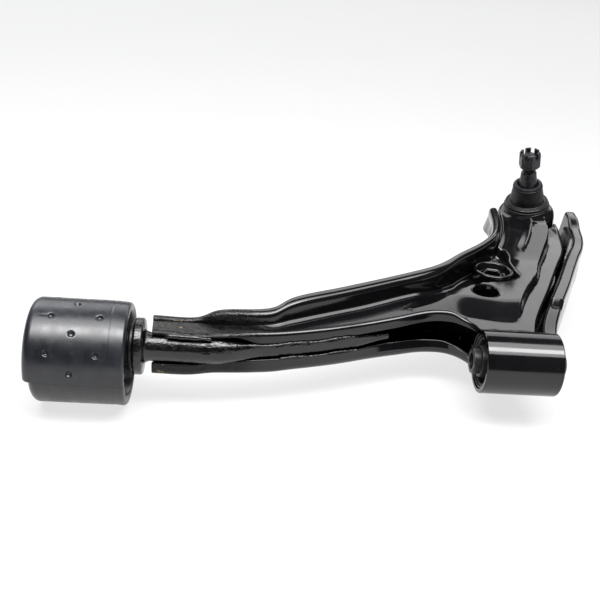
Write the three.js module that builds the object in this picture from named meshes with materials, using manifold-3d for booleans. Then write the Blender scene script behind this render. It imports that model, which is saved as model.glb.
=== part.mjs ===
// Front lower control arm of a car, left side: a two-piece welded steel arm with a tube bushing at the
// front, a pin bushing at the rear and a ball joint at the outboard end.
// Millimetres. Origin at the centre of the front eye. +X to the front of the car, +Y outboard, +Z up.
import * as THREE from "three";
import { mergeVertices } from "three/addons/utils/BufferGeometryUtils.js";
import Module from "manifold-3d";

const wasm = await Module();
wasm.setup();

// ---------------------------------------------------------------- driving dimensions
const FIT = 0.4; // clearance between neighbouring solids
const SHEET = 3; // stamping thickness
const FLOOR_Z = -18.5; // inside face of the lower stamping's floor
const COVER_Z = 15; // top face of the cover plate where it is flat
const PLATEAU_RISE = 8; // height of the pressed plateau on the cover plate

const EYE = { radius: 25, bore: 21.6, halfLength: 30 };
const FRONT_SLEEVE = { radius: 10, bore: 6.5, halfLength: 36.5 };
const FRONT_SHELL = { radius: EYE.bore - FIT, wall: 1.6, halfLength: 29 };

const PIN = { radius: 11.9, collar: 21.7, stub: 9, y: -2.6, z: -0.7 };
const REAR_BUSH = { radius: 40.6, drop: 7.8, left: -376, right: -299.5, recess: 12, fillet: 13 };
const REAR_SLEEVE = { radius: 16, flangeRadius: 19, left: -368, flangeLeft: -299, right: -293 };

const BALL = { radius: 13, below: 4 }; // ball centre below the end plate's plane
const SEAT_WALL = 3;
const STUD_AXIS = new THREE.Vector3(-0.185, -0.21, 1).normalize();
const END_CENTRE = new THREE.Vector3(77.7, 275.5, 24);
const HOUSING = { radius: 21.2, flangeRadius: 23.4, top: 14.4, bottom: -36 };
const CUP = { radius: 29.2, top: 11, bottom: -44 };
const NUT = { acrossFlats: 19, bottom: 59.5, height: 17.5, bore: 6.3, slotWidth: 4, slotDepth: 7 };

// Outlines in plan, from the mouth of the leg to the ball joint. The far rail's and the right rail's run
// along their outer edges, and the third number of the far rail is the height of its crown.
const FAR_RAIL = [
  [-284, 18, 17], [-249, 18, 17.5], [-236, 19, 24], [-203, 23, 25], [-191, 25, 26.5], [-179, 33, 31],
  [-135, 56, 33], [-91, 78, 35.5], [-52, 98, 39], [-26, 127, 39.5], [3, 162, 38.5], [15, 181, 39],
  [25, 215, 38], [33, 260, 36],
];
const NEAR_EDGE = [
  [-282, -11], [-256, -11], [-235, -6], [-210, -3], [-180, 3.5], [-145, 14.5], [-118, 25], [-90, 35],
  [-66, 43], [-47, 43.5], [-36, 38.5], [-28, 29], [-24, 16],
];
const RIGHT_RAIL = [
  [34.5, 17], [41, 37], [49, 56], [58, 75], [70, 100], [84, 131], [100, 166], [112.5, 192], [120.5, 215],
  [127.5, 250], [130.5, 274],
];
// Spine of the cover plate's pressed plateau, with its half width: x, y, half width.
const PLATEAU = [[-22, 72, 22], [4, 92, 31], [24, 128, 27], [46, 172, 25], [56, 212, 22], [66, 250, 22]];

const LINK_SEAT = { x: 6.3, y: 124, radius: 18, bore: 7, top: 25.5 };
const PLATE_HOLE = { x: -9.5, y: 82.6, radius: 11.6 };

// ---------------------------------------------------------------- materials
const paint = (color, roughness, metalness) => () =>
  new THREE.MeshStandardMaterial({ color, roughness, metalness });
const glossBlack = paint(0x0c0c0d, 0.18, 0.3);
const satinBlack = paint(0x17181a, 0.4, 0.5);
const rubber = paint(0x23262b, 0.6, 0);
const darkSteel = paint(0x2b2d31, 0.45, 0.8);
const polymer = paint(0xd8d4c6, 0.5, 0);

// ---------------------------------------------------------------- geometry helpers
const TURN = 2 * Math.PI;

// Turns a three.js geometry into a closed solid, faces outwards.
function solidFrom(geometry) {
  const bare = geometry.index ? geometry.toNonIndexed() : geometry.clone();
  bare.deleteAttribute("normal");
  bare.deleteAttribute("uv");
  const merged = mergeVertices(bare, 1e-3);
  const vertProperties = new Float32Array(merged.attributes.position.array);
  const triVerts = new Uint32Array(merged.index.array);
  const solid = new wasm.Manifold(new wasm.Mesh({ numProp: 3, vertProperties, triVerts }));
  if (solid.volume() > 0) return solid;
  for (let i = 0; i < triVerts.length; i += 3) {
    [triVerts[i + 1], triVerts[i + 2]] = [triVerts[i + 2], triVerts[i + 1]];
  }
  return new wasm.Manifold(new wasm.Mesh({ numProp: 3, vertProperties, triVerts }));
}

// Turns a solid back into a three.js geometry with flat faces.
function geometryFrom(solid) {
  const mesh = solid.getMesh();
  const geometry = new THREE.BufferGeometry();
  geometry.setAttribute("position", new THREE.BufferAttribute(mesh.vertProperties, 3));
  geometry.setIndex(new THREE.BufferAttribute(mesh.triVerts, 1));
  return geometry;
}

// A solid of revolution about +X from a closed profile of [radius, x] points.
function turnedX(profile, segments) {
  const points = profile.map(([radius, x]) => new THREE.Vector2(radius, x));
  if (!(profile[0][0] === 0)) points.push(points[0].clone());
  return solidFrom(new THREE.LatheGeometry(points, segments).rotateZ(-Math.PI / 2));
}

// A solid of revolution about the ball joint's axis: profile of [radius, height above the end plate].
function turnedBall(profile, segments) {
  const points = profile.map(([radius, height]) => new THREE.Vector2(radius, height));
  if (!(profile[0][0] === 0)) points.push(points[0].clone());
  const lathe = new THREE.LatheGeometry(points, segments);
  return solidFrom(placeOnStudAxis(lathe));
}

// Moves a geometry made about +Y onto the ball joint's axis.
function placeOnStudAxis(geometry) {
  const turn = new THREE.Quaternion().setFromUnitVectors(new THREE.Vector3(0, 1, 0), STUD_AXIS);
  return geometry.applyQuaternion(turn).translate(END_CENTRE.x, END_CENTRE.y, END_CENTRE.z);
}

// A cylinder along +X as a solid.
function barX(radius, from, to, segments, y = 0, z = 0) {
  const bar = new THREE.CylinderGeometry(radius, radius, to - from, segments).rotateZ(Math.PI / 2);
  return solidFrom(bar.translate((from + to) / 2, y, z));
}

// A cylinder along +Z as a solid.
function barZ(radius, x, y, from, to, segments) {
  const bar = new THREE.CylinderGeometry(radius, radius, to - from, segments).rotateX(Math.PI / 2);
  return solidFrom(bar.translate(x, y, (from + to) / 2));
}

// Value at x of a list of [x, value] pairs, eased between them and level outside.
function ramp(x, pairs) {
  if (x <= pairs[0][0]) return pairs[0][1];
  for (let i = 1; i < pairs.length; i += 1) {
    if (x <= pairs[i][0]) {
      const t = (x - pairs[i - 1][0]) / (pairs[i][0] - pairs[i - 1][0]);
      return THREE.MathUtils.lerp(pairs[i - 1][1], pairs[i][1], t * t * (3 - 2 * t));
    }
  }
  return pairs[pairs.length - 1][1];
}

// A smooth curve through a short list of points.
function smoothCurve(points) {
  const vectors = points.map(([x, y, z = 0]) => new THREE.Vector3(x, y, z));
  return new THREE.CatmullRomCurve3(vectors, false, "centripetal");
}

// A closed sheet of even thickness under a grid of surface points rows[i][j].
function sheetFrom(rows, thickness) {
  const rowCount = rows.length;
  const columnCount = rows[0].length;
  const at = (i, j) => {
    const row = rows[THREE.MathUtils.clamp(i, 0, rowCount - 1)];
    return row[THREE.MathUtils.clamp(j, 0, columnCount - 1)];
  };
  const positions = [];
  const under = [];
  for (let i = 0; i < rowCount; i += 1) {
    for (let j = 0; j < columnCount; j += 1) {
      const along = at(i + 1, j).clone().sub(at(i - 1, j));
      const before = at(i, j).clone().sub(at(i, j - 1)).normalize();
      const after = at(i, j + 1).clone().sub(at(i, j)).normalize();
      const across = before.add(after);
      const normal = across.cross(along).normalize();
      positions.push(...at(i, j).toArray());
      under.push(...at(i, j).clone().addScaledVector(normal, -thickness).toArray());
    }
  }
  const half = rowCount * columnCount;
  const index = [];
  const quad = (a, b, c, d) => index.push(a, b, c, a, c, d);
  const top = (i, j) => i * columnCount + j;
  for (let i = 0; i < rowCount - 1; i += 1) {
    for (let j = 0; j < columnCount - 1; j += 1) {
      quad(top(i, j), top(i + 1, j), top(i + 1, j + 1), top(i, j + 1));
      quad(half + top(i, j), half + top(i, j + 1), half + top(i + 1, j + 1), half + top(i + 1, j));
    }
    const last = columnCount - 1;
    quad(top(i, 0), half + top(i, 0), half + top(i + 1, 0), top(i + 1, 0));
    quad(top(i, last), top(i + 1, last), half + top(i + 1, last), half + top(i, last));
  }
  for (let j = 0; j < columnCount - 1; j += 1) {
    const last = rowCount - 1;
    quad(top(0, j), top(0, j + 1), half + top(0, j + 1), half + top(0, j));
    quad(top(last, j), half + top(last, j), half + top(last, j + 1), top(last, j + 1));
  }
  const geometry = new THREE.BufferGeometry();
  geometry.setAttribute("position", new THREE.Float32BufferAttribute([...positions, ...under], 3));
  geometry.setIndex(index);
  return solidFrom(geometry);
}

// A weld bead along a curve.
function bead(points, radius, steps) {
  const circle = new THREE.Shape().absarc(0, 0, radius, 0, TURN);
  const extrudePath = smoothCurve(points);
  return solidFrom(
    new THREE.ExtrudeGeometry(circle, { steps, curveSegments: 3, extrudePath, bevelEnabled: false }),
  );
}

// ---------------------------------------------------------------- the arm's plan
const LEG_STATIONS = 19;
const EYE_STATIONS = 3;
const NECK_STATIONS = 10;
const STATION_COUNT = LEG_STATIONS + EYE_STATIONS + NECK_STATIONS;

const farCurve = smoothCurve(FAR_RAIL);
const nearCurve = smoothCurve(NEAR_EDGE);
const rightCurve = smoothCurve(RIGHT_RAIL);

// The right rail's outline moved inwards by a distance.
function insideRightRail(share, distance) {
  const point = rightCurve.getPointAt(share);
  const tangent = rightCurve.getTangentAt(share);
  return new THREE.Vector2(point.x - tangent.y * distance, point.y + tangent.x * distance);
}

// The inboard edge's y at a value of x.
const nearPoints = nearCurve.getPoints(200);
function nearEdgeY(x) {
  const k = nearPoints.findIndex((point) => point.x >= x);
  return nearPoints[Math.max(k, 0)].y;
}

// The edge that faces inboard and forwards, by station: leg, eye, then right rail.
function innerEdge(station, distance) {
  if (station <= LEG_STATIONS) {
    const point = nearCurve.getPointAt(station / LEG_STATIONS);
    return new THREE.Vector2(point.x, point.y);
  }
  const eyeStart = new THREE.Vector2(NEAR_EDGE.at(-1)[0], NEAR_EDGE.at(-1)[1]);
  const eyeEnd = insideRightRail(0, distance);
  if (station <= LEG_STATIONS + EYE_STATIONS) {
    return eyeStart.lerp(eyeEnd, (station - LEG_STATIONS) / EYE_STATIONS);
  }
  return insideRightRail((station - LEG_STATIONS - EYE_STATIONS) / NECK_STATIONS, distance);
}

// The far rail's section at a station: its outer point, crown width and the foot of its inner wall.
function farSection(station) {
  const legEnd = 0.655;
  const eyeEnd = 0.74;
  const shares = [
    [0, 0], [LEG_STATIONS, legEnd], [LEG_STATIONS + EYE_STATIONS, eyeEnd], [STATION_COUNT, 1],
  ];
  let k = 1;
  while (station > shares[k][0]) k += 1;
  const t = (station - shares[k - 1][0]) / (shares[k][0] - shares[k - 1][0]);
  const share = THREE.MathUtils.lerp(shares[k - 1][1], shares[k][1], t);
  const outer = farCurve.getPointAt(share);
  const crown = ramp(outer.x, [[-250, 7], [-225, 10], [-170, 13.5], [-50, 13.5], [-18, 10.5], [12, 9]]);
  const lean = ramp(outer.x, [[0, 1], [26, 6]]);
  return { outer, crown, lean };
}

// ---------------------------------------------------------------- lower stamping
// Depth of the lip that turns up along the inner edge: none under the pin, full further on.
const lipTop = (x) => FLOOR_Z + ramp(x, [[-232, 3.2], [-198, 10], [-90, 9.5], [-40, 8], [-24, 3.6]]);

function lowerBase() {
  const rows = [];
  for (let i = 0; i <= STATION_COUNT; i += 1) {
    const { outer, crown, lean } = farSection(i);
    const inner = innerEdge(i, 12);
    const start = new THREE.Vector2(outer.x, outer.y);
    const across = inner.clone().sub(start);
    const width = across.length() - SHEET;
    across.normalize();
    const z = outer.z;
    const skirt = Math.min(22, z - 6);
    const lip = i > LEG_STATIONS ? FLOOR_Z + 3.6 : lipTop(inner.x);
    const foot = crown + lean;
    const flare = ramp(outer.y, [[225, 0], [252, 3.5]]);
    const profile = [
      [-flare, z - skirt], [0, z - 4.5], [1.4, z - 1.3], [4.5, z], [crown - 3.2, z], [crown - 0.4, z - 1.8],
      [crown + 0.4, z - 5], [foot, FLOOR_Z + 4], [foot + 4, FLOOR_Z], [(foot + width) / 2, FLOOR_Z],
      [width - 3.2, FLOOR_Z], [width - 0.8, FLOOR_Z + 1], [width, FLOOR_Z + 3], [width, lip],
    ];
    rows.push(profile.map(([u, h]) => {
      return new THREE.Vector3(start.x + across.x * u, start.y + across.y * u, h);
    }));
  }
  return sheetFrom(rows, SHEET);
}

function rightRail() {
  const rows = [];
  const steps = 13;
  for (let i = 0; i <= steps; i += 1) {
    const share = i / steps;
    const outer = rightCurve.getPointAt(share);
    const z = ramp(outer.y, [[52, 12], [64, 27], [200, 27], [274, 31]]);
    const profile = [
      [0, -8], [0, z - 4], [1.3, z - 1.2], [4, z], [8, z], [10.4, z - 1.3], [11.4, z - 4.2], [15, 0],
      [16.4, FLOOR_Z + 3], [19, FLOOR_Z - 1.5], [23, FLOOR_Z - 1.5],
    ];
    rows.push(profile.map(([u, h]) => {
      const point = insideRightRail(share, u);
      return new THREE.Vector3(point.x, point.y, h);
    }).reverse());
  }
  return sheetFrom(rows, SHEET);
}

// The round cup that the ball joint's housing is pressed into.
function endCup() {
  const { radius, top, bottom } = CUP;
  return turnedBall([
    [HOUSING.radius - 3, bottom], [radius, bottom], [radius, 3], [radius - 0.6, 6.5], [radius - 2.4, 9.6],
    [radius - 5, top], [HOUSING.radius - 3, top],
  ], 28);
}

const eyeClearance = barX(EYE.radius + FIT, -EYE.halfLength - FIT, EYE.halfLength + FIT, 40);
const housingBore = turnedBall([
  [0, CUP.bottom - 12], [HOUSING.radius + FIT, CUP.bottom - 12], [HOUSING.radius + FIT, CUP.top + 2],
  [0, CUP.top + 2],
], 28);

function lowerChannel() {
  return lowerBase()
    .add(rightRail())
    .add(endCup())
    .subtract(housingBore)
    .subtract(eyeClearance)
    .subtract(barZ(LINK_SEAT.radius + FIT, LINK_SEAT.x, LINK_SEAT.y, 8, LINK_SEAT.top + 1, 28));
}

// ---------------------------------------------------------------- cover plate
// Height of the cover plate's top face: flat, with a smooth raised plateau towards the ball joint.
function coverHeight(x, y) {
  let inside = -Infinity;
  for (let i = 1; i < PLATEAU.length; i += 1) {
    const [ax, ay, aw] = PLATEAU[i - 1];
    const [bx, by, bw] = PLATEAU[i];
    const lengthSquared = (bx - ax) ** 2 + (by - ay) ** 2;
    const t = THREE.MathUtils.clamp(((x - ax) * (bx - ax) + (y - ay) * (by - ay)) / lengthSquared, 0, 1);
    const distance = Math.hypot(x - ax - (bx - ax) * t, y - ay - (by - ay) * t);
    inside = Math.max(inside, THREE.MathUtils.lerp(aw, bw, t) - distance);
  }
  return COVER_Z + ramp(inside, [[-2, 0], [7, PLATEAU_RISE]]);
}

function coverSheet() {
  const rows = [];
  const acrossSteps = 7;
  const gap = 0.9;
  for (let i = 0; i <= STATION_COUNT; i += 1) {
    const { outer, crown, lean } = farSection(i);
    const inner = innerEdge(i, 17.6);
    const start = new THREE.Vector2(outer.x, outer.y);
    const across = inner.clone().sub(start);
    const width = across.length() - ramp(inner.x, [[-278, 7], [-236, 1], [-215, 0]]);
    across.normalize();
    const drop = outer.z - 5 - COVER_Z;
    const wall = crown + 0.4 + Math.max(drop / (outer.z - 5 - FLOOR_Z - 4), 0) * lean;
    const from = wall + gap;
    const flange = i > LEG_STATIONS ? 4 : ramp(inner.x, [[-222, 3.6], [-200, 9], [-50, 9], [-26, 4]]);
    const row = [];
    for (let j = 0; j <= acrossSteps; j += 1) {
      const u = THREE.MathUtils.lerp(from, width - 3.4, j / acrossSteps);
      const x = start.x + across.x * u;
      const y = start.y + across.y * u;
      row.push(new THREE.Vector3(x, y, coverHeight(x, y)));
    }
    const edgeZ = row.at(-1).z;
    for (const [u, h] of [[width - 0.9, -0.8], [width, -3.1], [width, -flange]]) {
      row.push(new THREE.Vector3(start.x + across.x * u, start.y + across.y * u, edgeZ + h));
    }
    rows.push(row);
  }
  return sheetFrom(rows, SHEET);
}

const cupClearance = turnedBall([
  [0, CUP.bottom - 20], [CUP.radius + FIT, CUP.bottom - 20], [CUP.radius + FIT, 30], [0, 30],
], 28);

function coverPlate() {
  const { x, y, radius } = PLATE_HOLE;
  return coverSheet()
    .subtract(cupClearance)
    .subtract(eyeClearance)
    .subtract(barZ(radius, x, y, 0, 40, 24))
    .subtract(barZ(LINK_SEAT.radius + FIT, LINK_SEAT.x, LINK_SEAT.y, 0, 40, 28));
}

// A dished round seat for the stabiliser link, let into the cover plate.
function linkSeat() {
  const { x, y, radius, bore, top } = LINK_SEAT;
  const profile = [
    [bore, top - 6], [radius - 6, top - 6], [radius - 2.4, top], [radius - 0.4, top], [radius, top - 0.5],
    [radius, top - 14], [radius - 2.5, top - 14], [radius - 3, top - 9], [bore, top - 9],
  ];
  const points = profile.map(([r, h]) => new THREE.Vector2(r, h));
  points.push(points[0].clone());
  return solidFrom(new THREE.LatheGeometry(points, 28).rotateX(Math.PI / 2).translate(x, y, 0));
}

// ---------------------------------------------------------------- front eye and bushing
const tube = (radius, bore, halfLength, segments, chamfer = 0.6) => turnedX([
  [bore, -halfLength], [radius - chamfer, -halfLength], [radius, chamfer - halfLength],
  [radius, halfLength - chamfer], [radius - chamfer, halfLength], [bore, halfLength],
], segments);

function frontRubber() {
  const outer = FRONT_SHELL.radius - FRONT_SHELL.wall - FIT;
  const inner = FRONT_SLEEVE.radius + FIT;
  const end = FRONT_SHELL.halfLength;
  const groove = 7;
  return turnedX([
    [inner, -end - 2], [inner + 2, -end - 2], [inner + 3.4, groove - end], [outer - 2.6, groove - end],
    [outer - 1.4, 0.6 - end], [outer, 0.6 - end], [outer, end - 0.6], [outer - 1.4, end - 0.6],
    [outer - 2.6, end - groove], [inner + 3.4, end - groove], [inner + 2, end + 2], [inner, end + 2],
  ], 28);
}

// ---------------------------------------------------------------- rear pin and bushing
// A forged pin: round where it carries the bushing, flattened to a blade in the mouth of the channel.
function rearPin() {
  const bladeEnd = -97;
  const sides = 16;
  const stops = [
    -367, -306, -305.6, -292.4, -292, -285.4, -285, -240, -228, -218, -208, -196, -175, -150, -123, bladeEnd,
  ];
  const rings = stops.map((x) => {
    const flat = ramp(x, [[-240, 0], [-200, 1]]);
    const onCollar = x >= -292 && x <= -285.4;
    const onStub = x <= -306;
    const round = onCollar ? PIN.collar : onStub ? PIN.stub : PIN.radius;
    const bladeY = nearEdgeY(x) + 4.4;
    const y = THREE.MathUtils.lerp(PIN.y, bladeY, flat);
    const z = THREE.MathUtils.lerp(PIN.z, -1.6, flat);
    const halfY = THREE.MathUtils.lerp(round, 3.8, flat);
    const halfZ = THREE.MathUtils.lerp(round, 5.6, flat);
    const squareness = 1 - 0.45 * flat;
    const ring = [];
    for (let k = 0; k < sides; k += 1) {
      const c = Math.cos((TURN * k) / sides);
      const s = Math.sin((TURN * k) / sides);
      const dy = Math.sign(c) * Math.abs(c) ** squareness * halfY;
      const dz = Math.sign(s) * Math.abs(s) ** squareness * halfZ;
      ring.push([x, y + dy, z + dz]);
    }
    return ring;
  });
  const positions = rings.flat(2);
  const first = [stops[0], PIN.y, PIN.z];
  const last = [bladeEnd, nearEdgeY(bladeEnd) + 4.4, -1.6];
  positions.push(...first, ...last);
  const index = [];
  for (let i = 0; i < stops.length - 1; i += 1) {
    for (let k = 0; k < sides; k += 1) {
      const a = i * sides + k;
      const b = i * sides + ((k + 1) % sides);
      index.push(a, b, b + sides, a, b + sides, a + sides);
    }
  }
  const firstIndex = stops.length * sides;
  for (let k = 0; k < sides; k += 1) {
    const next = (k + 1) % sides;
    index.push(firstIndex, next, k);
    index.push(firstIndex + 1, firstIndex - sides + k, firstIndex - sides + next);
  }
  const geometry = new THREE.BufferGeometry();
  geometry.setAttribute("position", new THREE.Float32BufferAttribute(positions, 3));
  geometry.setIndex(index);
  return solidFrom(geometry);
}

// The bushing's steel sleeve on the pin's stub, with a flange against the pin's collar.
function rearSleeve() {
  const { radius, flangeRadius, left, flangeLeft, right } = REAR_SLEEVE;
  const stubBore = PIN.stub + FIT;
  const neckBore = PIN.radius + FIT;
  const shoulder = -306.4;
  return turnedX([
    [stubBore, left], [radius, left], [radius, flangeLeft], [flangeRadius, flangeLeft],
    [flangeRadius, right - 0.8], [flangeRadius - 0.8, right], [neckBore, right], [neckBore, shoulder],
    [stubBore, shoulder],
  ], 24).translate([0, PIN.y, PIN.z]);
}

// The rubber of the rear bushing: its outside is centred below the pin.
function rearRubber() {
  const { radius, drop, left, right, recess, fillet } = REAR_BUSH;
  const steps = 4;
  const leftRound = [];
  for (let k = 0; k <= steps; k += 1) {
    const angle = (Math.PI / 2) * (k / steps);
    leftRound.push([radius - fillet + fillet * Math.sin(angle), left + fillet - fillet * Math.cos(angle)]);
  }
  const outside = turnedX([
    [0, left], ...leftRound, [radius, right - 3.6], [radius - 1, right - 1], [radius - 3.6, right],
    [radius - 6.4, right - 1.4], [radius - 8, right - recess], [0, right - recess],
  ], 36).translate([0, PIN.y, PIN.z - drop]);
  return outside.subtract(barX(REAR_SLEEVE.radius + FIT, left - 5, right + 5, 24, PIN.y, PIN.z));
}

// ---------------------------------------------------------------- weld beads
// Points just outside the arm's inner edge, between two x values, at one height.
function alongMouth(from, to, standOff, z, count) {
  const points = [];
  for (let k = 0; k <= count; k += 1) {
    const x = THREE.MathUtils.lerp(from, to, k / count);
    points.push([x, nearEdgeY(x) - standOff, z]);
  }
  return points;
}

// Two points along the front eye at an angle round it from +Y, resting on its outside.
function alongEye(angleDegrees, radius, from, to) {
  const angle = THREE.MathUtils.degToRad(angleDegrees);
  const reach = EYE.radius + FIT + radius;
  return [from, (from + to) / 2, to].map((x) => [x, reach * Math.cos(angle), reach * Math.sin(angle)]);
}

const MOUTH_BEAD = 1.5;
const EYE_BEAD = 2.2;
const PIN_END_WELD = [[-272, -9.4, 13.2], [-256, -9.8, 13], [-240, -10, 12.9]];

// ---------------------------------------------------------------- ball joint
const ballHeight = -BALL.below;
const arc = (centre, radius, fromDegrees, toDegrees, steps) => {
  const points = [];
  for (let k = 0; k <= steps; k += 1) {
    const angle = THREE.MathUtils.degToRad(THREE.MathUtils.lerp(fromDegrees, toDegrees, k / steps));
    points.push([radius * Math.sin(angle), centre + radius * Math.cos(angle)]);
  }
  return points;
};

const SEAT_INNER = BALL.radius + FIT;
const SEAT_OUTER = SEAT_INNER + SEAT_WALL;
const CAVITY = SEAT_OUTER + FIT;

function ballHousing() {
  const { radius, flangeRadius, top, bottom } = HOUSING;
  return turnedBall([
    [17.4, bottom + 3.4], [17.4, bottom], [radius - 1, bottom], [radius, bottom + 1], [radius, CUP.top + FIT],
    [flangeRadius, CUP.top + FIT], [flangeRadius, top - 0.6], [flangeRadius - 0.6, top], [16.6, top],
    ...arc(ballHeight, CAVITY, 55, 90, 3), [CAVITY, bottom + 3.4],
  ], 24);
}

const ballSeat = () => turnedBall([
  ...arc(ballHeight, SEAT_OUTER, 58, 140, 5), ...arc(ballHeight, SEAT_INNER, 140, 58, 5),
], 20);

function ballStud() {
  return turnedBall([
    [0, ballHeight - BALL.radius], ...arc(ballHeight, BALL.radius, 165, 30, 7), [6.5, 9.5], [6.5, 17],
    [8, 20], [9.2, 24], [9.2, 33], [9.4, 34.5], [7.6, 53.5], [6, 54.3], [6, 72.6], [5, 73.8], [0, 74.6],
  ], 20);
}

const pressurePlate = () => turnedBall([
  [0, -25], [16.2, -25], [16.2, -22.4], [9, -21.4], [0, -21.4],
], 20);
const preloadSpring = () => turnedBall([
  [6, -27.4], [15.6, -29.4], [15.6, -28], [6, -25.8],
], 20);
const housingCap = () => turnedBall([
  [0, -35.4], [17, -35.4], [17, -33.2], [12, -32], [0, -32],
], 20);

// The rubber boot: a wall that is thin at the lip and thick at the bead over the housing's flange.
function dustBoot() {
  const base = HOUSING.top + FIT;
  return turnedBall([
    [18, base], [22.8, base], [23.2, base + 1.6], [20.6, base + 2.4], [20, base + 4.8], [18.9, base + 6.2],
    [18.4, base + 10], [15, base + 18.4], [13, base + 19], [13, base + 21.4], [14, base + 22.2],
    [13.2, base + 23.4], [10.6, base + 23.4], [10.4, base + 19.6], [14.6, base + 9], [15.4, base + 3],
  ], 24);
}

// A round wire ring about the ball joint's axis.
const wireRing = (radius, wire, height) => turnedBall(
  Array.from({ length: 6 }, (_, k) => [
    radius + wire * Math.cos((TURN * k) / 6), height + wire * Math.sin((TURN * k) / 6),
  ]), 24);

// Castle nut: a chamfered hexagon, its top cut into six prongs by slots across the flats.
function castleNut() {
  const { acrossFlats, bottom, height, bore, slotWidth, slotDepth } = NUT;
  const top = bottom + height;
  const corner = acrossFlats / Math.sqrt(3);
  const hexagon = new THREE.CylinderGeometry(corner, corner, height, 6).translate(0, bottom + height / 2, 0);
  let nut = solidFrom(placeOnStudAxis(hexagon)).intersect(turnedBall([
    [0, bottom], [8.8, bottom], [corner + 0.2, bottom + 2], [corner + 0.2, top - 3],
    [corner - 0.9, top - 0.9], [corner - 2.4, top], [0, top],
  ], 24));
  const slotFloor = top - slotDepth;
  const wider = bore + 1;
  nut = nut.subtract(turnedBall([[0, bottom - 1], [bore, bottom - 1], [bore, top + 1], [0, top + 1]], 18));
  nut = nut.subtract(turnedBall([[0, slotFloor], [wider, slotFloor], [wider, top + 1], [0, top + 1]], 18));
  for (let k = 0; k < 3; k += 1) {
    const slot = new THREE.BoxGeometry(slotWidth, slotDepth * 2, 30).translate(0, top, 0);
    slot.rotateY((Math.PI / 3) * k + Math.PI / 6);
    nut = nut.subtract(solidFrom(placeOnStudAxis(slot)));
  }
  return nut;
}

// ---------------------------------------------------------------- assembly
const arm = new THREE.Group();

function addPart(name, solid, material) {
  const mesh = new THREE.Mesh(geometryFrom(solid), material());
  mesh.name = name;
  arm.add(mesh);
}

addPart("lower_channel", lowerChannel(), glossBlack);
addPart("cover_plate", coverPlate(), glossBlack);
addPart("link_seat", linkSeat(), glossBlack);
addPart("front_eye", tube(EYE.radius, EYE.bore, EYE.halfLength, 40), glossBlack);
addPart(
  "front_bush_shell",
  tube(FRONT_SHELL.radius, FRONT_SHELL.radius - FRONT_SHELL.wall, FRONT_SHELL.halfLength, 32, 0.4),
  darkSteel,
);
addPart("front_bush_rubber", frontRubber(), rubber);
addPart(
  "front_bush_sleeve",
  tube(FRONT_SLEEVE.radius, FRONT_SLEEVE.bore, FRONT_SLEEVE.halfLength, 24),
  darkSteel,
);
addPart("weld_eye_upper", bead(alongEye(40, EYE_BEAD, -22, 12), EYE_BEAD, 4), glossBlack);
addPart("weld_eye_lower", bead(alongEye(-55, EYE_BEAD, -22, 20), EYE_BEAD, 4), glossBlack);
addPart("rear_pin", rearPin(), satinBlack);
addPart("weld_pin_end", bead(PIN_END_WELD, MOUTH_BEAD, 4), glossBlack);
addPart("weld_pin_upper", bead(alongMouth(-192, -100, MOUTH_BEAD + FIT, 5, 8), MOUTH_BEAD, 12), glossBlack);
addPart("weld_pin_lower", bead(alongMouth(-168, -103, MOUTH_BEAD + FIT, -8, 6), MOUTH_BEAD, 9), glossBlack);
addPart("rear_bush_sleeve", rearSleeve(), satinBlack);
addPart("rear_bush_rubber", rearRubber(), rubber);
addPart("ball_joint_housing", ballHousing(), satinBlack);
addPart("ball_seat", ballSeat(), polymer);
addPart("ball_stud", ballStud(), darkSteel);
addPart("pressure_plate", pressurePlate(), polymer);
addPart("preload_spring", preloadSpring(), darkSteel);
addPart("housing_cap", housingCap(), darkSteel);
addPart("dust_boot", dustBoot(), rubber);
addPart("boot_lower_ring", wireRing(21.5, 0.8, HOUSING.top + FIT + 3.8), darkSteel);
addPart("boot_upper_ring", wireRing(13.8, 0.42, HOUSING.top + FIT + 20.2), darkSteel);
addPart("castle_nut", castleNut(), darkSteel);

export default arm;
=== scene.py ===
# Front lower control arm: the finished surfaces, materials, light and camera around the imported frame.
# Lengths are in millimetres up to the point where a mesh is made; Blender's own units are metres.
import math

import bmesh
import bpy
import numpy as np
from mathutils import Matrix, Vector


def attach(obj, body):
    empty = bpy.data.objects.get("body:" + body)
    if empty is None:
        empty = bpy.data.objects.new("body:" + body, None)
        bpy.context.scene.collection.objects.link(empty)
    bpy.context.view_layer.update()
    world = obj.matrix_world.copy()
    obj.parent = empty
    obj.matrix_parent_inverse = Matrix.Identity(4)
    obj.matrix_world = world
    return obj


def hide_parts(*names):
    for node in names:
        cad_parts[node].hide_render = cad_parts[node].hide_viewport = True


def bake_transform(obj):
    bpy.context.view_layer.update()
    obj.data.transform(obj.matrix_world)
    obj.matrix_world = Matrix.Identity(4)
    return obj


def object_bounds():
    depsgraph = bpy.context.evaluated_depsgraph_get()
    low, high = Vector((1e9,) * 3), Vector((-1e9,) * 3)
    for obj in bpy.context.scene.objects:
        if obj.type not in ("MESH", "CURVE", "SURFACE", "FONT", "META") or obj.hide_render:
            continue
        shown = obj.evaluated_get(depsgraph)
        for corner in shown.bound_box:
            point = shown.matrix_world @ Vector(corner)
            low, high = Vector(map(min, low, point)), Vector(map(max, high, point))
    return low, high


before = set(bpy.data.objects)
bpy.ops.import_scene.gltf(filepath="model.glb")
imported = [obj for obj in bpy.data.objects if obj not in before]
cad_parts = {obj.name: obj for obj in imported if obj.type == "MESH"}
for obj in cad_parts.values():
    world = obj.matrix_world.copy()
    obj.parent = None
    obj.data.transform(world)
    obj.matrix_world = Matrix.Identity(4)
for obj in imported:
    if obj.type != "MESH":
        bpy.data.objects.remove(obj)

cad_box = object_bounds()

MM = 0.001
TURN = 2 * math.pi

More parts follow.
